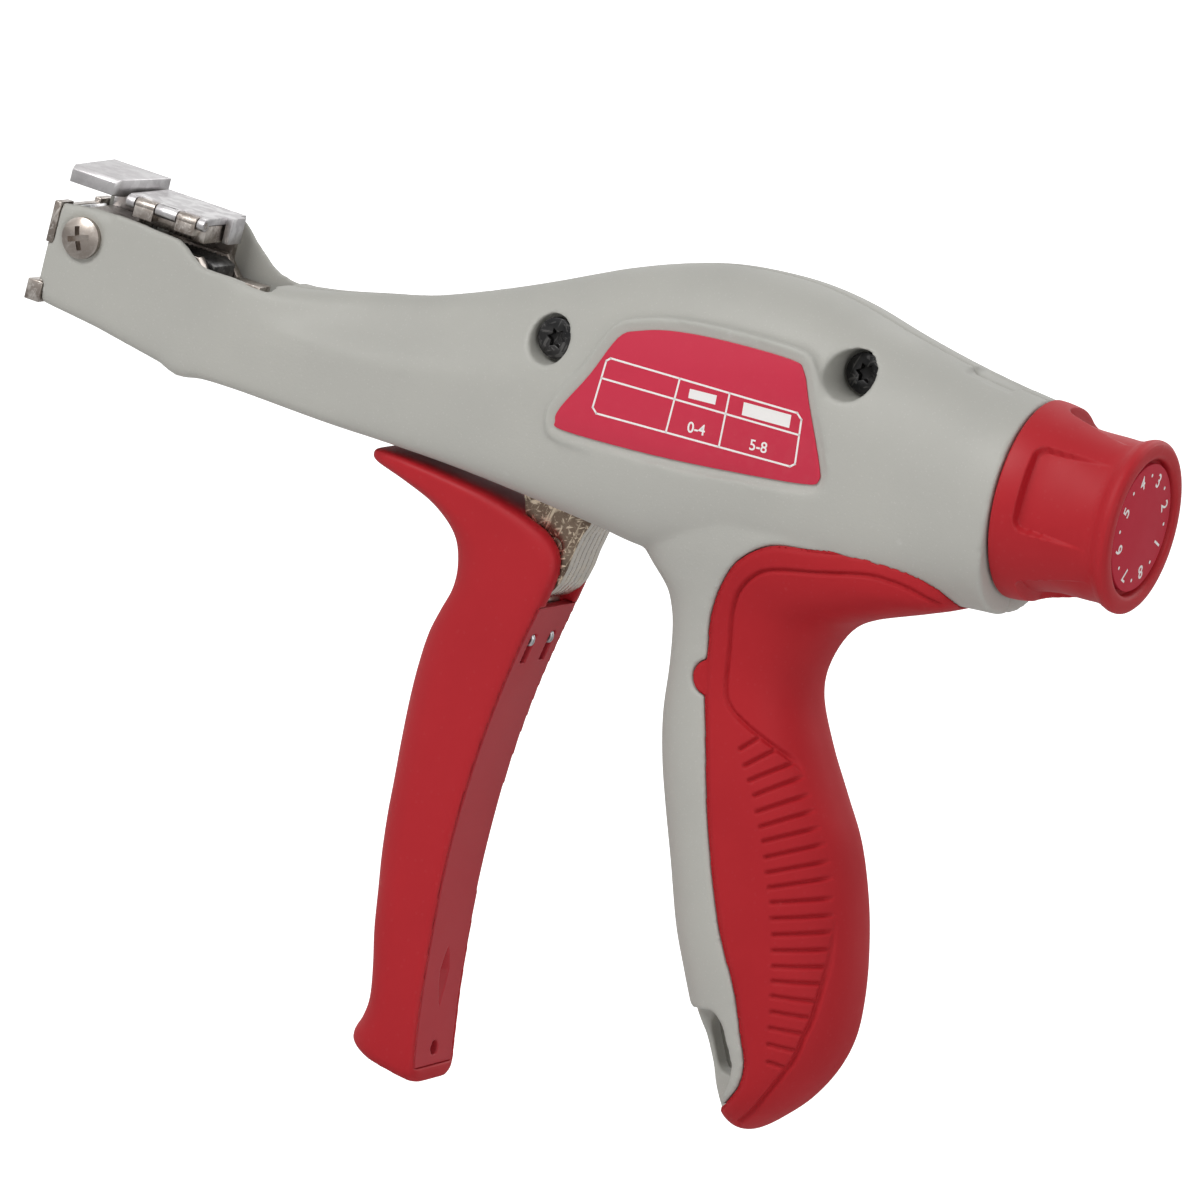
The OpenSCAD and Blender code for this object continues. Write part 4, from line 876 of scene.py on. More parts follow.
TRIGGER = np.array([
    [0, -0.76, 0.035, -0.758, 0.024, 0.45, 4], [1, -0.701, 0.043, -0.713, 0.0145, 0.8, 6],
    [2, -0.555, 0.057, -0.56, 0.0127, 0.98, 8], [3, -0.405, 0.08, -0.36, 0.0163, 1, 8],
    [4, -0.296, 0.117, -0.148, 0.0236, 1, 8], [5, -0.261, 0.162, 0.052, 0.04, 1, 8],
    [6, -0.264, 0.203, 0.181, 0.0625, 1, 8], [7, -0.296, 0.241, 0.24, 0.103, 1, 9],
    [8, -0.325, 0.284, 0.216, 0.167, 1, 10], [9, -0.336, 0.339, 0.174, 0.239, 1, 12],
    [10, -0.336, 0.398, 0.136, 0.321, 0.99, 12], [11, -0.327, 0.466, 0.106, 0.411, 0.98, 12],
    [12, -0.315, 0.529, 0.089, 0.493, 0.97, 12], [13, -0.304, 0.592, 0.08, 0.574, 0.97, 12],
    [14, -0.285, 0.656, 0.082, 0.651, 0.97, 12], [15, -0.261, 0.71, 0.092, 0.719, 0.98, 12],
    [16, -0.233, 0.774, 0.106, 0.792, 0.99, 12], [17, -0.193, 0.837, 0.122, 0.86, 1, 12],
    [18, -0.172, 0.887, 0.139, 0.909, 1.01, 12], [19, -0.184, 0.922, 0.153, 0.946, 1.01, 12],
    [20, -0.209, 0.948, 0.167, 0.971, 1, 10], [21, -0.2, 0.966, 0.174, 0.987, 0.96, 6],
    [22, -0.125, 0.985, 0.169, 1, 0.8, 4],
])
LEVER = [
    (-0.352, 0), (-0.405, -0.4), (-0.425, -0.8), (-0.385, -1.09), (-0.215, -1.195),
    (-0.085, -1.245), (-0.04, -1.36), (0, -1.46), (0.09, -1.72), (0.14, -2.16), (0.21, -2.45),
    (0.45, -2.45), (0.5, -2.16), (0.555, -1.88), (0.638, -1.59), (0.705, -1.33), (0.62, -0.86),
    (0.5, -0.38), (0.352, 0),
]
LABEL = [
    (0.425, 0.11), (0.44, 0.08), (0.56, 0.11), (0.68, 0.165), (0.765, 0.215), (0.782, 0.25),
    (0.776, 0.33), (0.745, 0.56), (0.728, 0.69), (0.708, 0.722), (0.62, 0.705), (0.55, 0.67),
    (0.505, 0.62), (0.48, 0.56), (0.455, 0.36), (0.428, 0.18),
]


@dataclass
class Forms:
    """The big moulded forms, finer than in the frame and on the same sizes."""

    s: Sizes
    rings: int = 150
    points: int = 96
    body_end: float = 1.03
    nose_square: float = 9.0
    bay_from: float = 0.07
    bay_run: float = 0.91
    bay_steps: int = 40
    pivot_boss_r: float = 6.65
    rear_boss_r: float = 5.55
    handle_rings: int = 110
    bump_at: Point2 = (0.406, 0.199)
    bump_r: float = 3.4
    core_share: float = 0.62
    slot_at: Point2 = (167.8, -94.2)
    slot_turn: float = 27.0
    slot_r: float = 3.3
    slot_reach: float = 2.8
    bar_y: Point2 = (-4.2, 1.6)

    def barrel(self, name: str) -> Piece:
        """The body from the nose to its rear face."""
        s = self.s
        rows = []
        for r in NOSE:
            a = np.array([r[0] * s.nose_len, -r[1] * s.belly_h])
            b = np.array([r[0] * s.nose_len, r[2] * s.horn_h])
            half = r[3] * s.nose_w / 2
            rows.append(ring(a, b, half, self.nose_square, r[4], 0.5, r[5], self.points))
        rows += [self.body_ring(v, 0.0) for v in np.linspace(0, self.body_end, self.rings)]
        return loft(name, rows)

    def body_ring(self, share: float, inset: float) -> np.ndarray:
        """One section of the body."""
        s = self.s
        r = smooth_table(BODY, np.array([share]))[0]
        a = np.array([s.run_x(share), -r[1] * s.belly_h])
        b = np.array([s.run_x(share), r[2] * s.crest_h])
        return ring(a, b, r[3] * s.body_w / 2, *r[4:8], self.points, inset)

    def bay(self) -> Piece:
        """The room for the mechanism inside the body, with the bosses left standing."""
        s, steps = self.s, self.bay_steps
        room = loft("bay", [
            self.body_ring(self.bay_from + self.bay_run * i / steps, s.wall)
            for i in range(steps + 1)
        ])
        stop = block("stop", (-s.rear_wall, -s.over, -s.over), (s.over, s.over, s.over))
        move(stop, s.knob_frame)
        cut(room, stop)
        bosses = (
            (s.pivot, self.pivot_boss_r, s.eye_half), (s.rear_screw, self.rear_boss_r, 0.0)
        )
        for centre, r, gap in bosses:
            for y0, y1 in ((-s.over, -gap), (gap, s.over)):
                cut(room, prism("boss", disc_outline(*centre, r), y0, y1))
        return room

    def handle(self, name: str) -> Piece:
        """The handle with its rubber."""
        s = self.s
        rows = []
        for r in smooth_table(HANDLE, np.linspace(0, 20, self.handle_rings)):
            a = np.array(s.handle_at((r[1], r[2])))
            b = np.array(s.handle_at((r[3], r[4])))
            rows.append(ring(a, b, r[5] * s.handle_w / 2, r[6], r[7], 0.5, 0.0, self.points))
        return loft(name, rows)

    def grip_edge(self) -> Outline:
        """The edge of the rubber in the side view."""
        return round_path([self.s.handle_at(p) for p in GRIP_EDGE], 6)

    def grip_region(self, seam: float) -> Piece:
        """The side outline of the rubber, as a cutter through the handle."""
        s = self.s
        region = prism("grip_region", self.grip_edge(), -s.over, s.over)
        disc = disc_outline(*s.handle_at(self.bump_at), self.bump_r)
        combine(region, prism("grip_bump", disc, -s.over, s.over), Boolean.JOIN)
        if seam:
            shrink = region.modifiers.new("seam", "DISPLACE")
            shrink.strength = -seam * MM
            shrink.mid_level = 0.0
            bake_modifiers(region)
        return region

    def core(self) -> Piece:
        """The flat spine of the handle under the rubber."""
        s = self.s
        w = self.core_share * s.handle_w / 2
        return prism("core", [s.handle_at(p) for p in CORE], -w, w)

    def lanyard(self) -> Piece:
        """The slot at the foot of the handle, and the hollow on each side of its bar."""
        over, turn = self.s.over, math.radians(self.slot_turn)
        out = np.array([math.cos(turn), math.sin(turn)])
        up = np.array([-math.sin(turn), math.cos(turn)])

        def at(u: float, v: float) -> Point2:
            """A point from its distances across and along the slot."""
            p = np.array(self.slot_at) + out * u + up * v
            return (float(p[0]), float(p[1]))

        def end(sign: int) -> Outline:
            """One round end of the slot."""
            arc = [math.pi * i / 24 for i in range(25)]
            r, reach = self.slot_r, self.slot_reach
            return [at(sign * r * math.cos(a), sign * (reach + r * math.sin(a))) for a in arc]

        cutter = prism("lanyard", end(1) + end(-1), -over, over)
        hollow = round_path([
            at(-14.0, -15.0), at(-3.6, -11.4), at(-0.6, -8.6), at(1.9, -6.0), at(3.1, -3.0),
            at(3.1, 3.6), at(2.2, 5.6), at(0.2, 6.7), at(-14.0, 6.7),
        ], 3)
        for y0, y1 in ((-over, self.bar_y[0]), (self.bar_y[1], over)):
            combine(cutter, prism("hollow", hollow, y0, y1), Boolean.JOIN)
        return cutter


# ---------------------------------------------------------------- casing


@dataclass
class Casing:
    """The two moulded halves, the rubber grip, the label and what is fixed to them."""

    s: Sizes
    forms: Forms
    shop: Workshop
    voxel: float = 0.5
    grip_voxel: float = 0.3
    seam: float = 0.03
    fit: float = 0.05
    slack: float = 0.3
    bore_r: float = 2.05
    recess_r: float = 4.45
    nose_recess_r: float = 4.4
    pivot_seat: float = 7.2
    rear_seat: float = 6.4
    eye_r: float = 7.755
    bush_r: float = 6.0
    index_half: float = 5.0
    pad_grow: float = 2.3
    pad_share: float = 0.13
    seat_grow: float = 1.4
    film_t: float = 0.4
    line_w: float = 0.34
    proud: float = 0.03
    print_t: float = 0.02
    number_size: float = 2.7
    number_lean: float = 5.8
    grip_gap: float = 0.25

    def build(self) -> None:
        """Builds and dresses the casing."""
        for side in Side:
            self.half(side)
        self.grip()
        self.label()

    def half(self, side: Side) -> None:
        """One half of the casing."""
        s, f = self.s, self.forms
        left = side is Side.LEFT
        form = f.barrel("casing_left" if left else "casing_right")
        handle = f.handle("handle")
        cut(handle, f.grip_region(0.0))
        combine(form, handle, Boolean.JOIN)
        combine(form, f.core(), Boolean.JOIN)
        pad = prism("pad", self.label_outline(self.pad_grow), 0.0, self.pad_share * s.body_w)
        combine(form, self.on_label(pad), Boolean.JOIN)
        y0, y1 = (-self.seam, s.over) if left else (-s.over, self.seam)
        cut(form, block("far", (-60.0, y0, -160.0), (260.0, y1, 90.0)))
        cut(form, *self.cutters(side))
        melt(form, self.voxel, passes=7)
        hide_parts("housing_left" if left else "housing_right")
        self.shop.dress(form, "casing", "casing")

    def cutters(self, side: Side) -> list[Piece]:
        """Everything that is cut out of a half."""
        s, f, over = self.s, self.forms, self.s.over
        n, b, h = s.nose_len, s.belly_h, s.horn_h
        rear = block("rear", (0, -over, -over), (over, over, over))
        move(rear, s.knob_frame)
        channel = [
            (-0.10, -0.545), (0.25, -0.63), (0.56, -0.793), (1.26, -0.81), (1.26, 0.20),
            (1.10, 0.20), (1.10, 0.27), (0.955, 0.27), (0.92, 2.50), (-0.10, 2.50),
        ]
        slot = [(0.90, 0.0), (1.26, 0.0), (1.26, 0.52), (0.90, 0.52)]
        index = [(179.2, 33.5), (188.4, 32.5), (188.4, 60.0), (179.2, 60.0)]
        px = s.pivot[0]
        lever = (px - 0.18 * s.lever_arm, px + 1.145 * s.lever_arm)
        lever_half = s.stack_w / 2 + self.slack
        bar_half = s.drawbar_t / 2 + self.slack
        tongue = 0.445 * s.nose_w + self.fit
        plate = s.plate_t + self.fit

        def side_cut(name: str, outline: Outline, half: float) -> Piece:
            """A cutter on both sides of the middle plane."""
            return prism(name, outline, -half, half)

        def hole(
            name: str, centre: Point2, r: float, y0: float, y1: float, count: int = 64
        ) -> Piece:
            """A round or many-sided hole across the tool."""
            return prism(name, disc_outline(*centre, r, count), y0, y1)

        out = [
            rear, f.bay(), hole("eye_room", s.pivot, self.eye_r, -s.eye_half, s.eye_half),
            side_cut("channel", [(x * n, z * b) for x, z in channel], s.channel_w / 2),
            side_cut("bar_slot", [(x * n, z * b) for x, z in slot], bar_half),
            block(
                "lever_slot", (lever[0], -lever_half, -1.35 * b), (lever[1], lever_half, -0.7 * b)
            ),
            f.lanyard(),
            block("plate_top", (-over, -over, 0.30 * b), (plate, over, over)),
            block("plate_low", (-over, -over, -over), (plate, over, -0.33 * b)),
            block("plate_mid", (-over, -tongue, -over), (plate, tongue, over)),
            side_cut("index", index, self.index_half),
            lathe("bush", [(-over, self.bush_r), (over, self.bush_r)], s.knob_frame),
            hole("nose_bore", s.nose_screw, self.bore_r, -over, over),
        ]
        if side is Side.RIGHT:
            floor = 0.45 * s.nose_w
            return [*out, hole("nose_recess", s.nose_screw, self.nose_recess_r, floor, over, 6)]
        top = [
            (-0.10, 0.675), (0.0375, 0.675), (0.208, 0.747), (0.35, 0.729), (0.48, 0.712),
            (0.55, 0.693), (0.585, 0.640), (0.62, 0.560), (0.67, 0.488), (0.74, 0.485),
            (0.865, 0.506), (1.04, 0.584), (1.04, 3.0), (-0.10, 3.0),
        ]
        out.append(side_cut("near_top", [(x * n, z * h) for x, z in top], over))
        for centre, seat in ((s.pivot, self.pivot_seat), (s.rear_screw, self.rear_seat)):
            out.append(hole("screw_bore", centre, self.bore_r, -over, 0.0))
            out.append(hole("screw_recess", centre, self.recess_r, -over, -seat))
        nose_floor = -0.47 * s.nose_w
        out.append(hole("nose_recess", s.nose_screw, self.nose_recess_r, -over, nose_floor))
        label_seat = prism("label_seat", self.label_outline(self.seat_grow), -over, self.film_t)
        out.append(self.on_label(label_seat))
        return out

    def label_outline(self, grow: float = 0.0) -> Outline:
        """The label's outline in its own side view, larger all round by a distance."""
        s = self.s
        path = np.array(round_path([(s.run_x(a), b * s.crest_h) for a, b in LABEL], 5))
        along = np.roll(path, -1, axis=0) - np.roll(path, 1, axis=0)
        along /= np.linalg.norm(along, axis=1)[:, None]
        grown = path + np.column_stack([along[:, 1], -along[:, 0]]) * grow
        return [(float(x), float(z)) for x, z in grown]

    def on_label(self, obj: Piece) -> Piece:
        """Moves a flat piece from the side view onto the label's plane."""
        s = self.s
        x = s.run_x(0.6)
        frame = (
            Matrix.Translation((x, -0.465 * s.body_w, 0))
            @ Matrix.Rotation(math.radians(-1.8), 4, "Z")
            @ Matrix.Translation((-x, 0, 0))
        )
        move(obj, frame)
        return obj

    def label(self) -> None:
        """The label with its table, bars and numbers."""
        plate = self.on_label(prism("label_film", self.label_outline(), 0.0, self.film_t))
        break_edges(plate, width=0.12, degrees=30)
        shade(plate)
        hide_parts("label_plate")
        self.shop.dress(plate, "label", "casing")
        self.shop.dress(self.table(), "print", "casing")
        for k, (text, x, z) in enumerate((("0-4", 138.0, 11.4), ("5-8", 150.5, 12.1))):
            self.shop.dress(self.numbers(f"label_numbers_{k}", text, x, z), "print", "casing")

    def table(self) -> Piece:
        """The printed table's lines and the two bars that show tie widths."""
        frame = [
            (117.7, 17.6), (118.4, 18.3), (156.2, 20.1), (157.3, 19.2), (158.2, 11.4),
            (157.4, 10.7), (118.3, 8.1), (117.3, 8.9),
        ]
        lines = list(zip(frame, frame[1:] + frame[:1])) + [
            ((117.55, 14.4), (157.6, 16.5)), ((132.5, 18.95), (132.4, 9.05)),
            ((142.6, 19.45), (143.1, 9.75)),
        ]
        verts: list[Point3] = []
        faces: list[tuple[int, ...]] = []

        def quad(*corners: Point2) -> None:
            """Adds one flat printed patch."""
            k = len(verts)
            for y in (-self.proud, self.print_t):
                verts.extend((p[0], y, p[1]) for p in corners)
            faces.append((k, k + 1, k + 2, k + 3))
            for i in range(4):
                j = (i + 1) % 4
                faces.append((k + i, k + j, k + 4 + j, k + 4 + i))

        for a, b in lines:
            a, b = np.array(a), np.array(b)
            d = (b - a) / np.linalg.norm(b - a)
            e, m = d * self.line_w / 2, np.array([-d[1], d[0]]) * self.line_w / 2
            a, b = a - e, b + e
            quad(tuple(a - m), tuple(b - m), tuple(b + m), tuple(a + m))
        quad((135.0, 16.2), (140.4, 16.65), (140.3, 18.3), (134.9, 17.85))
        quad((145.9, 16.5), (155.4, 17.1), (155.2, 19.4), (145.7, 18.8))
        return self.on_label(new_object("label_table", np.array(verts), faces))

    def numbers(self, name: str, text: str, x: float, z: float) -> Piece:
        """Printed numbers on the label."""
        obj = number_mesh(name, text, self.number_size, self.print_t)
        lean = Matrix.Rotation(-math.radians(self.number_lean), 4, "Y")
        stand = Matrix.Rotation(math.pi / 2, 4, "X")
        move(obj, Matrix.Translation((x, -self.print_t, z)) @ lean @ stand)
        return self.on_label(obj)

    def grip(self) -> None:
        """The rubber grip with its groove and ribs."""
        f = self.forms
        grip = f.handle("rubber_grip")
        combine(grip, f.grip_region(self.grip_gap), Boolean.KEEP)
        cut(grip, f.barrel("barrel"))
        cut(grip, f.lanyard())
        melt(grip, self.grip_voxel, passes=5)
        groove = [
            (193.0, -7.5), (190.6, -5.7), (184.3, -3.6), (179.5, -3.2), (175.2, -3.6),
            (166.7, -6.0), (158.1, -8.3), (154.6, -10.8), (152.4, -14.6), (152.0, -19.1),
            (152.8, -24.9), (153.7, -31.2), (155.0, -34.2), (158.3, -36.4), (163.5, -38.8),
            (168.2, -41.2), (172.9, -45.5), (175.9, -49.5), (178.1, -53.4), (179.8, -57.1),
            (181.8, -61.4), (182.8, -65.2), (183.4, -68.7), (184.0, -73.3), (184.2, -77.9),
            (184.2, -83.7), (183.7, -87.1), (183.2, -90.7), (182.0, -94.0), (179.3, -99.6),
            (176.8, -103.8), (174.4, -106.7), (172.4, -109.3),
        ]
        ribs = [
            ((162.0, -38.2), (159.4, -41.2)), ((164.9, -39.8), (161.1, -43.7)),
            ((168.0, -41.4), (162.7, -45.9)), ((170.3, -43.2), (164.4, -48.1)),
            ((172.6, -45.6), (165.7, -50.7)), ((174.4, -48.0), (167.1, -53.0)),
            ((175.8, -50.8), (168.4, -55.3)), ((177.7, -53.2), (169.5, -57.9)),
            ((178.9, -56.1), (170.6, -60.4)), ((179.9, -58.9), (171.7, -62.8)),
            ((181.0, -62.3), (172.8, -65.2)), ((182.0, -65.1), (173.7, -67.9)),
            ((182.6, -68.0), (174.7, -70.6)), ((183.3, -71.0), (175.4, -73.3)),
            ((183.5, -74.1), (176.2, -76.0)), ((183.8, -77.1), (176.7, -78.6)),
            ((183.7, -80.4), (177.2, -81.2)), ((183.5, -83.4), (177.8, -84.0)),
            ((183.1, -86.5), (178.2, -86.9)), ((182.7, -89.8), (178.6, -89.9)),
            ((182.0, -93.4), (179.1, -93.1)),
        ]
        edge = f.grip_edge()
        inner = [(p, q) for p, q in zip(edge, edge[1:]) if q[0] < 195.0]
        carve(grip, inner, half=1.5, depth=0.45)
        groove = round_path(groove, 3)[:-3]
        carve(grip, list(zip(groove, groove[1:])) + ribs, half=0.6, depth=0.8)
        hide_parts("grip_cover")
        self.shop.dress(grip, "rubber", "casing")


# A groove starts where the skin faces the side by this share, and is full so much later.
SIDE_FACING = 0.42
SIDE_FADE = 0.2


def carve(obj: Piece, lines: list[tuple[Point2, Point2]], half: float, depth: float) -> None:
    """Presses narrow grooves into both sides of a piece along lines in the side view.

    The grooves fade out where the skin turns away from the side.

    Args:
        obj: The piece, with even small faces.
        lines: Ends (x, z) of each stretch, in millimetres.
        half: Half width of a groove.
        depth: Depth of a groove.
    """
    mesh = obj.data
    n = len(mesh.vertices)
    co, normal = np.empty((n, 3)), np.empty((n, 3))
    for key, values in (("co", co), ("normal", normal)):
        mesh.vertices.foreach_get(key, values.ravel())
    p = co[:, (0, 2)] / MM
    near = np.full(n, np.inf)
    for a, b in lines:
        a2, b2 = np.array(a), np.array(b)
        d = b2 - a2
        t = np.clip(((p - a2) @ d) / (d @ d), 0, 1)
        gap = np.linalg.norm(p - (a2 + t[:, None] * d), axis=1)
        near = np.minimum(near, gap)
    facing = np.clip((np.abs(normal[:, 1]) - SIDE_FACING) / SIDE_FADE, 0, 1)
    press = ease(1 - near / half) * facing
    co -= normal * (press * depth * MM)[:, None]
    mesh.vertices.foreach_set("co", co.ravel())
    mesh.update()


def number_mesh(name: str, text: str, size: float, thick: float) -> Piece:
    """Plain numbers as a thin mesh, centred on the origin in the XY plane.

    Args:
        name: Name of the piece.
        text: The numbers.
        size: Height setting in millimetres.
        thick: Half thickness in millimetres.

    Returns:
        The mesh object.
    """
    curve = bpy.data.curves.new(name, "FONT")
    curve.body = text
    curve.size = size * MM
    curve.extrude = thick * MM
    curve.align_x, curve.align_y = "CENTER", "CENTER"
    curve.offset = 0.012 * size * MM
    curve.resolution_u = 6
    holder = bpy.data.objects.new(name + "_curve", curve)
    bpy.context.scene.collection.objects.link(holder)
    graph = bpy.context.evaluated_depsgraph_get()
    mesh = bpy.data.meshes.new_from_object(holder.evaluated_get(graph))
    bpy.data.objects.remove(holder)
    bpy.data.curves.remove(curve)
    mesh.name = name
    obj = bpy.data.objects.new(name, mesh)
    bpy.context.scene.collection.objects.link(obj)
    return obj


# ---------------------------------------------------------------- trigger


@dataclass
class Trigger:
    """The moulded trigger round its laminated steel lever."""

    s: Sizes
    shop: Workshop
    nodes: dict[str, Piece]
    voxel: float = 0.4
    insert_voxel: float = 0.2
    sections: int = 140
    points: int = 96
    last: float = 21.62
    rear_square: float = 2.3
    pocket_half: float = 5.55
    hollow_share: float = 0.36
    hollow_from: float = 0.32
    seat_share: float = 0.43
    fit: float = 0.05
    insert_t: float = 2.0
    sunk: float = 0.3
    slot_at: float = 9.15
    slot_y: float = 3.7
    slot_half: Point2 = (1.0, 2.9)
    pinch_at: float = 16.3
    hole_at: float = 18.9
    hole_r: float = 1.3
    rivet_r: float = 1.69
    rivet_proud: float = 0.02
    lever_edge: float = 0.3
    wire_r: float = 0.5

    def rows(self, at: np.ndarray) -> np.ndarray:
        """Rows of the trigger's table at stations."""
        return smooth_table(TRIGGER, at)

    def rear(self, at: np.ndarray) -> Outline:
        """Rear edge points at stations."""
        return [tuple(self.s.trigger_at(r[3], r[4])) for r in self.rows(at)]

    def rear_point(self, at: float) -> Point2:
        """The rear edge at one station."""
        return self.rear(np.array([at]))[0]

    def room(
        self, name: str, half: float, first: float, last: float, front: Outline
    ) -> Piece:
        """A pocket open to the trigger's rear."""
        back = [(x + self.s.over, z) for x, z in self.rear(np.linspace(last, first, 12))]
        return prism(name, front + back, -half, half)

    def build(self) -> None:
        """Builds and dresses the trigger's pieces."""
        s = self.s
        rings = []
        for r in self.rows(np.linspace(0, self.last, self.sections)):
            a, b = s.trigger_at(r[1], r[2]), s.trigger_at(r[3], r[4])
            half = r[5] * s.trigger_w / 2
            rings.append(ring(a, b, half, self.rear_square, r[6], 0.5, 0.0, self.points))
        shell = loft("trigger_moulding", rings)
        (px, pz), arm = s.pivot, s.lever_arm
        pocket = [(px + x * arm, pz + z * arm) for x, z in LEVER]
        cutter = prism("pocket", pocket, -self.pocket_half, self.pocket_half)
        cut(shell, cutter)
        mid = []
        for r in self.rows(np.linspace(8, 19, 26)):
            a, b = s.trigger_at(r[1], r[2]), s.trigger_at(r[3], r[4])
            mid.append(tuple(a + (b - a) * self.hollow_from))
        hollow = self.room("hollow", self.hollow_share * s.trigger_w, 8, 19, mid)
        cut(shell, hollow)
        front = [
            (x - self.insert_t - self.sunk - self.fit, z)
            for x, z in self.rear(np.linspace(8.1, 20, 30))
        ]
        seat = self.room("seat", self.seat_share * s.trigger_w, 8.1, 20, front)
        cut(shell, seat)
        melt(shell, self.voxel, passes=5)
        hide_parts("trigger_shell")
        self.shop.dress(shell, "red", "trigger")
        self.insert()
        self.plates()
        for side in (-1, 1):
            self.clip_end(side)

    def insert(self) -> None:
        """The strip that closes the trigger's rear, with its slots, pinch mark and hole."""
        rear = self.rear(np.linspace(8.12, 19.95, 60))
        outline = [(x - self.insert_t - self.sunk, z) for x, z in rear]
        outline += [(x - self.sunk, z) for x, z in reversed(rear)]
        half = self.seat_share * self.s.trigger_w - self.fit
        strip = prism("trigger_strip", outline, -half, half)
        x, z = self.rear_point(self.slot_at)
        wide, tall = self.slot_half
        for side in (-1, 1):
            y = side * self.slot_y
            slot = block("slot", (x - 5, y - wide, z - tall), (x + 5, y + wide, z + tall))
            cut(strip, slot)
        x, z = self.rear_point(self.pinch_at)
        rim = [
            (0.0, -5.6), (1.0, -3.0), (1.7, 0.0), (1.0, 3.0), (0.0, 5.6), (-1.0, 3.0),
            (-1.7, 0.0), (-1.0, -3.0),
        ]
        lens = loft("pinch", [
            np.array([(x + depth, y * k, z + v * k) for y, v in rim])
            for depth, k in ((1.2, 1.5), (-0.3, 1.0), (-1.9, 0.25))
        ])
        tidy_normals(lens)
        cut(strip, lens)
        x, z = self.rear_point(self.hole_at)
        through = [(-6.0, self.hole_r), (6.0, self.hole_r)]
        hole = lathe("hole", through, Matrix.Translation((x, 0, z)), count=40)
        cut(strip, hole)
        melt(strip, self.insert_voxel, passes=2)
        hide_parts("trigger_insert")
        self.shop.dress(strip, "strip", "trigger")

    def plates(self) -> None:
        """The laminated lever with its rounded rear and its rivets."""
        s = self.s
        reach = [
            (80.0, 40.0), (80.0, -40.0), (110.2, -34.2), (110.4, -30.4), (111.6, -29.3),
            (113.2, -27.7), (114.4, -25.6), (115.1, -22.8), (115.5, -19.8), (116.3, -16.2),
            (117.9, -12.6), (119.5, -9.6), (119.5, 40.0),
        ]
        trim = prism("reach", reach, -s.over, s.over)
        lever = softened(self.nodes["lever_plates"], self.lever_edge, trim)
        self.shop.dress(lever, "lever", "trigger")
        half = s.stack_w / 2 + self.rivet_proud

        def rivet(x: float, z: float) -> Piece:
            """One rivet through all the plates."""
            return prism("rivets", disc_outline(x, z, self.rivet_r, 40), -half, half)

        rivets = rivet(111.36, 3.97)
        for spot in ((111.36, -19.76), (108.3, -31.0)):
            combine(rivets, rivet(*spot), Boolean.JOIN)
        shade(rivets)
        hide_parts("lever_rivets")
        self.shop.dress(rivets, "lever", "trigger")

    def clip_end(self, side: int) -> None:
        """One bright end of the clip, bent round the top of its slot."""
        x, z = self.rear_point(self.slot_at)
        y = side * self.slot_y
        path = [
            (-2.2, 0.9), (-0.9, 0.9), (-0.25, 1.05), (-0.05, 1.5), (-0.05, 2.0), (-0.3, 2.4),
            (-0.9, 2.45), (-2.2, 2.3),
        ]
        wire = round_path(path, 4)[:-8]
        turn = [2 * math.pi * k / 14 for k in range(14)]
        sections = []
        for i, (u, v) in enumerate(wire):
            a, b = wire[max(i - 1, 0)], wire[min(i + 1, len(wire) - 1)]
            d = np.array([b[0] - a[0], b[1] - a[1]])
            n = np.array([-d[1], d[0]]) / np.linalg.norm(d) * self.wire_r
            sections.append(np.array([
                (x + u + n[0] * math.cos(c), y + self.wire_r * math.sin(c),
                 z + v + n[1] * math.cos(c))
                for c in turn
            ]))
        obj = loft(f"clip_end_{side}", sections)
        shade(obj)
        self.shop.dress(obj, "wire", "trigger")


# ---------------------------------------------------------------- knob


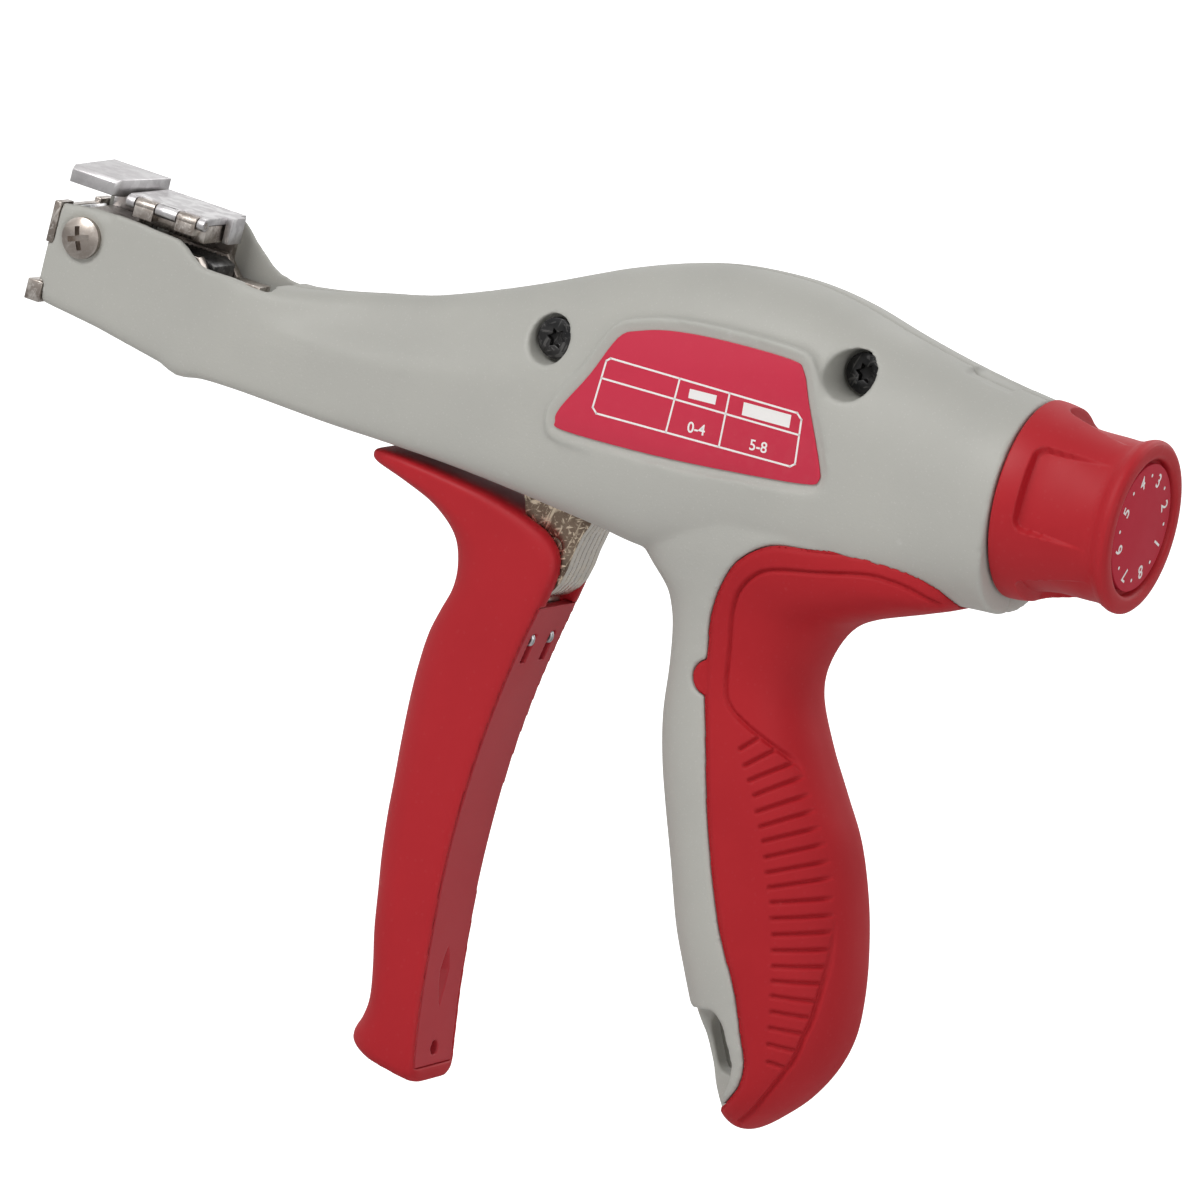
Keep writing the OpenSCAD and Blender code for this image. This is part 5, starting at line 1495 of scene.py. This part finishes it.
@dataclass
class Knob:
    """The tension knob with its thumb recesses and dial."""

    s: Sizes
    shop: Workshop
    hub_gap: float = 0.4
    count: int = 420
    outer_rows: int = 15
    recesses: int = 4
    recess_turn: float = 74.0
    recess_depth: float = 2.0
    recess_half: float = 0.43
    recess_corner: float = 0.05
    recess_run: Point2 = (0.20, 0.86)
    recess_fade: float = 0.9
    recess_dish: float = 0.35
    recess_edge: float = 0.5
    recess_facing: float = 0.3
    dial_at: float = 0.915
    dial_t: float = 0.055
    print_at: float = 0.97
    fit: float = 0.05
    number_size: float = 3.5
    number_r: float = 8.7
    dot_ring_r: float = 9.4
    dot_r: float = 0.33
    print_t: float = 0.03
    profile: Outline = field(default_factory=lambda: [
        (0.000, 0.975), (0.006, 0.990), (0.020, 1.000), (0.120, 0.992), (0.240, 0.965),
        (0.330, 0.940), (0.450, 0.905), (0.570, 0.872), (0.700, 0.838), (0.780, 0.822),
        (0.840, 0.830), (0.885, 0.855), (0.925, 0.872), (0.965, 0.868), (0.990, 0.840),
        (0.998, 0.800), (0.998, 0.740), (0.993, 0.712), (0.975, 0.692), (0.915, 0.688),
    ])

    def radius(self, share: np.ndarray) -> np.ndarray:
        """Radius of the turned profile at shares of its length."""
        p = np.array(self.profile[:self.outer_rows])
        return smooth_table(p, share)[:, 1] * self.s.knob_d / 2

    def build(self) -> None:
        """Builds and dresses the knob, its dial and numbers."""
        self.shop.dress(self.moulding(), "red", "knob")
        self.shop.dress(self.dial(), "dial", "knob")
        for i in range(8):
            self.shop.dress(self.numeral(i + 1), "print", "knob")
        self.shop.dress(self.dots(), "print", "knob")

    def moulding(self) -> Piece:
        """The turned and recessed knob."""
        s, count = self.s, self.count
        shares = np.unique(np.concatenate([
            np.linspace(0, 0.99, 160), np.linspace(0, 0.03, 12), np.linspace(0.97, 0.99, 14)
        ]))
        a = 2 * np.pi * np.arange(count) / count
        x = shares * s.knob_len
        radii = self.recessed(x, a, np.repeat(self.radius(shares)[:, None], count, axis=1))
        inner = self.profile[self.outer_rows:]
        inner = [(share * s.knob_len, r * s.knob_d / 2) for share, r in inner]
        obj = loft("knob_moulding", [
            np.column_stack([np.full(count, at + self.hub_gap), -r * np.sin(a), r * np.cos(a)])
            for at, r in [*zip(x, radii), *inner]
        ])
        move(obj, s.knob_frame)
        shade(obj, degrees=50)
        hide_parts("tension_knob")
        return obj

    def recessed(self, x: np.ndarray, a: np.ndarray, radii: np.ndarray) -> np.ndarray:
        """Sinks the thumb recesses into the knob's skin.

        Args:
            x: Distances along the axis.
            a: Angles round it.
            radii: The turned radius at each distance and angle.

        Returns:
            The radii with the recesses.
        """
        s = self.s
        w, corner = self.recess_half * s.knob_d / 2, self.recess_corner * s.knob_d
        x0, x1 = (share * s.knob_len for share in self.recess_run)
        fade = ease((x1 - x) / (self.recess_fade * (x1 - x0)))[:, None]
        for k in range(self.recesses):
            centre = math.radians(90 * k + self.recess_turn)
            d = np.arctan2(np.sin(a - centre), np.cos(a - centre))
            lateral = np.abs(radii * np.sin(d)[None, :])
            sunk = self.recess_depth * fade * (1 - self.recess_dish * (lateral / w) ** 2)
            qx = np.abs(x[:, None] - (x0 + x1) / 2) - (x1 - x0) / 2 + corner
            qy = lateral - w + corner
            outside = np.hypot(np.maximum(qx, 0), np.maximum(qy, 0))
            edge = outside + np.minimum(np.maximum(qx, qy), 0) - corner
            mask = ease(0.5 - edge / self.recess_edge)
            mask = mask * (np.cos(d) > self.recess_facing)[None, :]
            radii = radii - mask * sunk
        return radii

    def dial(self) -> Piece:
        """The dial disc with a chamfered edge."""
        x0 = self.hub_gap + self.dial_at * self.s.knob_len + self.fit
        t = self.dial_t * self.s.knob_len
        obj = lathe("dial_face", [
            (x0, 0.0), (x0, 11.4), (x0 + t - 0.2, 11.45), (x0 + t - 0.06, 11.38),
            (x0 + t, 11.2), (x0 + t, 0.0),
        ], self.s.knob_frame, 128)
        shade(obj)
        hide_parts("dial_disc")
        return obj

    def face_frame(self, angle: float, radius: float) -> Matrix:
        """Frame on the dial's face at an angle from the top, seen from behind."""
        x = self.hub_gap + self.print_at * self.s.knob_len + self.fit
        spot = Matrix.Rotation(angle, 4, "X") @ Matrix.Translation((x, 0, radius))
        stand = Matrix(((0, 0, 1, 0), (1, 0, 0, 0), (0, 1, 0, 0), (0, 0, 0, 1)))
        return self.s.knob_frame @ spot @ stand

    def numeral(self, value: int) -> Piece:
        """One number of the dial."""
        obj = number_mesh(f"dial_number_{value}", str(value), self.number_size, self.print_t)
        move(obj, self.face_frame(math.radians(45 * (value - 3.5)), self.number_r))
        return obj

    def dots(self) -> Piece:
        """The dots between the numbers."""
        verts: list[Point3] = []
        faces: list[tuple[int, ...]] = []
        for i in range(8):
            k = len(verts)
            frame = self.face_frame(math.radians(45 * i), self.dot_ring_r)
            for j in range(12):
                a = 2 * math.pi * j / 12
                edge = (self.dot_r * math.cos(a), self.dot_r * math.sin(a), self.print_t)
                verts.append(tuple(frame @ Vector(edge)))
            faces.append(tuple(range(k, k + 12)))
        return new_object("dial_dots", np.array(verts), faces)


# ---------------------------------------------------------------- metalwork


@dataclass
class Metalwork:
    """The nose pieces, the trains of the mechanism and the fasteners."""

    shop: Workshop
    nodes: dict[str, Piece]
    finished: tuple[tuple[str, float, str, str], ...] = (
        ("nose_plate", 0.15, "steel", "casing"), ("nose_block", 0.2, "steel", "casing"),
        ("head_cover", 0.3, "zinc", "casing"), ("gripper_cover", 0.14, "zinc", "cover"),
        ("jaw_frame", 0.1, "steel", "casing"), ("gripper_carriage", 0.12, "steel", "draw_train"),
        ("drawbar", 0.15, "steel", "draw_train"), ("gripper_pawl", 0.08, "black", "pawl"),
        ("trip_link", 0.12, "steel", "trip"), ("trip_yoke", 0.15, "steel", "trip"),
        ("cutter_lever", 0.12, "steel", "cutter"), ("tension_nut", 0.3, "brass", "nut"),
        ("housing_screws", 0.14, "black", "casing"), ("nose_nut", 0.15, "steel", "casing"),
    )
    kept: tuple[tuple[str, str], ...] = (
        ("nose_screw", "nickel"), ("cover_hinge_pin", "steel"), ("pivot_sleeve", "steel"),
        ("cutter_pivot_pin", "steel"), ("rear_bushing", "brass"), ("return_spring", "wire"),
        ("trigger_clip", "wire"), ("drawbar_pin", "steel"),
        ("carriage_pin", "steel"), ("pawl_pin", "steel"), ("pawl_spring", "wire"),
        ("cutter_blade", "blade"), ("cutter_link_pin", "steel"), ("trip_link_pins", "steel"),
        ("tension_spring", "wire"), ("tension_shaft", "steel"), ("retaining_ring", "wire"),
        ("knob_screw", "black"),
    )

    def build(self) -> None:
        """Finishes every metal piece."""
        for node, width, finish, body in self.finished:
            self.shop.dress(softened(self.nodes[node], width), finish, body)
        for node, finish in self.kept:
            self.shop.keep(self.nodes[node], finish)


# ---------------------------------------------------------------- studio


class Rays(Nodes):
    """A tree whose strengths differ for the rays of the camera and of reflections."""

    def __init__(self, tree: bpy.types.NodeTree) -> None:
        """Takes the tree to build in."""
        self.tree = tree

    def strength(self, plain: float, camera: float, glossy: float) -> Socket:
        """A strength by kind of ray.

        Args:
            plain: Strength for all other rays.
            camera: Strength for camera rays.
            glossy: Strength for reflected rays.

        Returns:
            The socket with the strength.
        """
        path = self.node("ShaderNodeLightPath", {})
        last = plain
        for output, value in (("Is Glossy Ray", glossy), ("Is Camera Ray", camera)):
            last = self.node("ShaderNodeMix", {0: path[output], 2: last, 3: value})[0]
        return last


@dataclass
class Studio:
    """Floor, lights and camera."""

    azimuth: float = 24.5
    elevation: float = 12.0
    roll: float = 14.1
    distance: float = 1800.0
    target: Point3 = (120.19, 0.0, -27.34)
    focal: float = 10112.0
    sensor: float = 36.0
    frame_px: float = 1200.0
    floor_z: float = -0.127
    floor_half: float = 9e3
    tone: Point3 = (0.88, 0.88, 0.5)
    glow: Point3 = (0.0, 0.72, 0.1)
    sky: Point3 = (0.27, 1.0, 1.0)

    def build(self) -> None:
        """Sets the stage."""
        self.camera()
        self.floor()
        self.world()
        self.lamp("key", (-0.55, -1.15, 1.15), 0.9, 16.5)
        self.lamp("fill", (1.25, -0.9, 0.55), 1.1, 6.5)
        self.lamp("back", (0.2, 1.2, 1.1), 1.2, 7.5)
        bpy.context.scene.view_settings.view_transform = "Standard"

    def camera(self) -> None:
        """The camera at the photograph's angle."""
        az, el, rho = (math.radians(v) for v in (self.azimuth, self.elevation, self.roll))
        v = Vector((math.sin(az) * math.cos(el), -math.cos(az) * math.cos(el), math.sin(el)))
        right = Vector((math.cos(az), math.sin(az), 0))
        up = right.cross(-v)
        x = right * math.cos(rho) + up * math.sin(rho)
        y = up * math.cos(rho) - right * math.sin(rho)
        data = bpy.data.cameras.new("camera")
        data.sensor_width = self.sensor
        data.lens = self.sensor * self.focal / self.frame_px
        data.clip_end = 50.0
        cam = bpy.data.objects.new("camera", data)
        m = Matrix((x, y, v)).transposed().to_4x4()
        m.translation = Vector(self.target) * MM + v * self.distance * MM
        cam.matrix_world = m
        bpy.context.scene.collection.objects.link(cam)
        bpy.context.scene.camera = cam

    def floor(self) -> None:
        """A plain pale floor that fills the view and keeps the soft shadow."""
        half = self.floor_half
        corners = [(-half, -half, 0), (half, -half, 0), (half, half, 0), (-half, half, 0)]
        obj = new_object("floor", np.array(corners), [(0, 1, 2, 3)])
        obj.data.transform(Matrix.Translation((0, 0, self.floor_z)))
        mat = bpy.data.materials.new("pale_floor")
        mat.use_nodes = True
        tree = mat.node_tree
        shader = tree.nodes["Principled BSDF"]
        for key, value in {
            "Roughness": 0.9, "Specular IOR Level": 0.0, "Emission Color": (1, 1, 1, 1),
            "Base Color": Rays(tree).strength(*self.tone),
            "Emission Strength": Rays(tree).strength(*self.glow),
        }.items():
            plug(tree, shader.inputs[key], value)
        obj.data.materials.append(mat)

    def world(self) -> None:
        """A plain soft sky that metal sees brighter."""
        world = bpy.data.worlds.new("sky")
        bpy.context.scene.world = world
        world.use_nodes = True
        tree = world.node_tree
        back = tree.nodes["Background"]
        back.inputs["Color"].default_value = (1, 1, 1, 1)
        tree.links.new(Rays(tree).strength(*self.sky), back.inputs["Strength"])

    def lamp(self, name: str, place: Point3, size: float, power: float) -> None:
        """One soft area lamp aimed at the tool."""
        data = bpy.data.lights.new(name, "AREA")
        data.shape = "SQUARE"
        data.size = size
        data.energy = power
        obj = bpy.data.objects.new(name, data)
        target = Vector(self.target) * MM
        obj.location = Vector(place) + target
        obj.rotation_euler = (-Vector(place)).to_track_quat("-Z", "Y").to_euler()
        bpy.context.scene.collection.objects.link(obj)


def main() -> None:
    """Builds the whole scene."""
    logging.basicConfig(level=logging.INFO, format="%(message)s")
    for obj in list(bpy.data.objects):
        bpy.data.objects.remove(obj)
    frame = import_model()
    sizes = Sizes()
    shop = Workshop()
    Studio().build()
    Casing(sizes, Forms(sizes), shop).build()
    Trigger(sizes, shop, frame["nodes"]).build()
    Knob(sizes, shop).build()
    Metalwork(shop, frame["nodes"]).build()
    LOG.info("%d pieces dressed", shop.count)


if __name__ == "__main__":
    main()
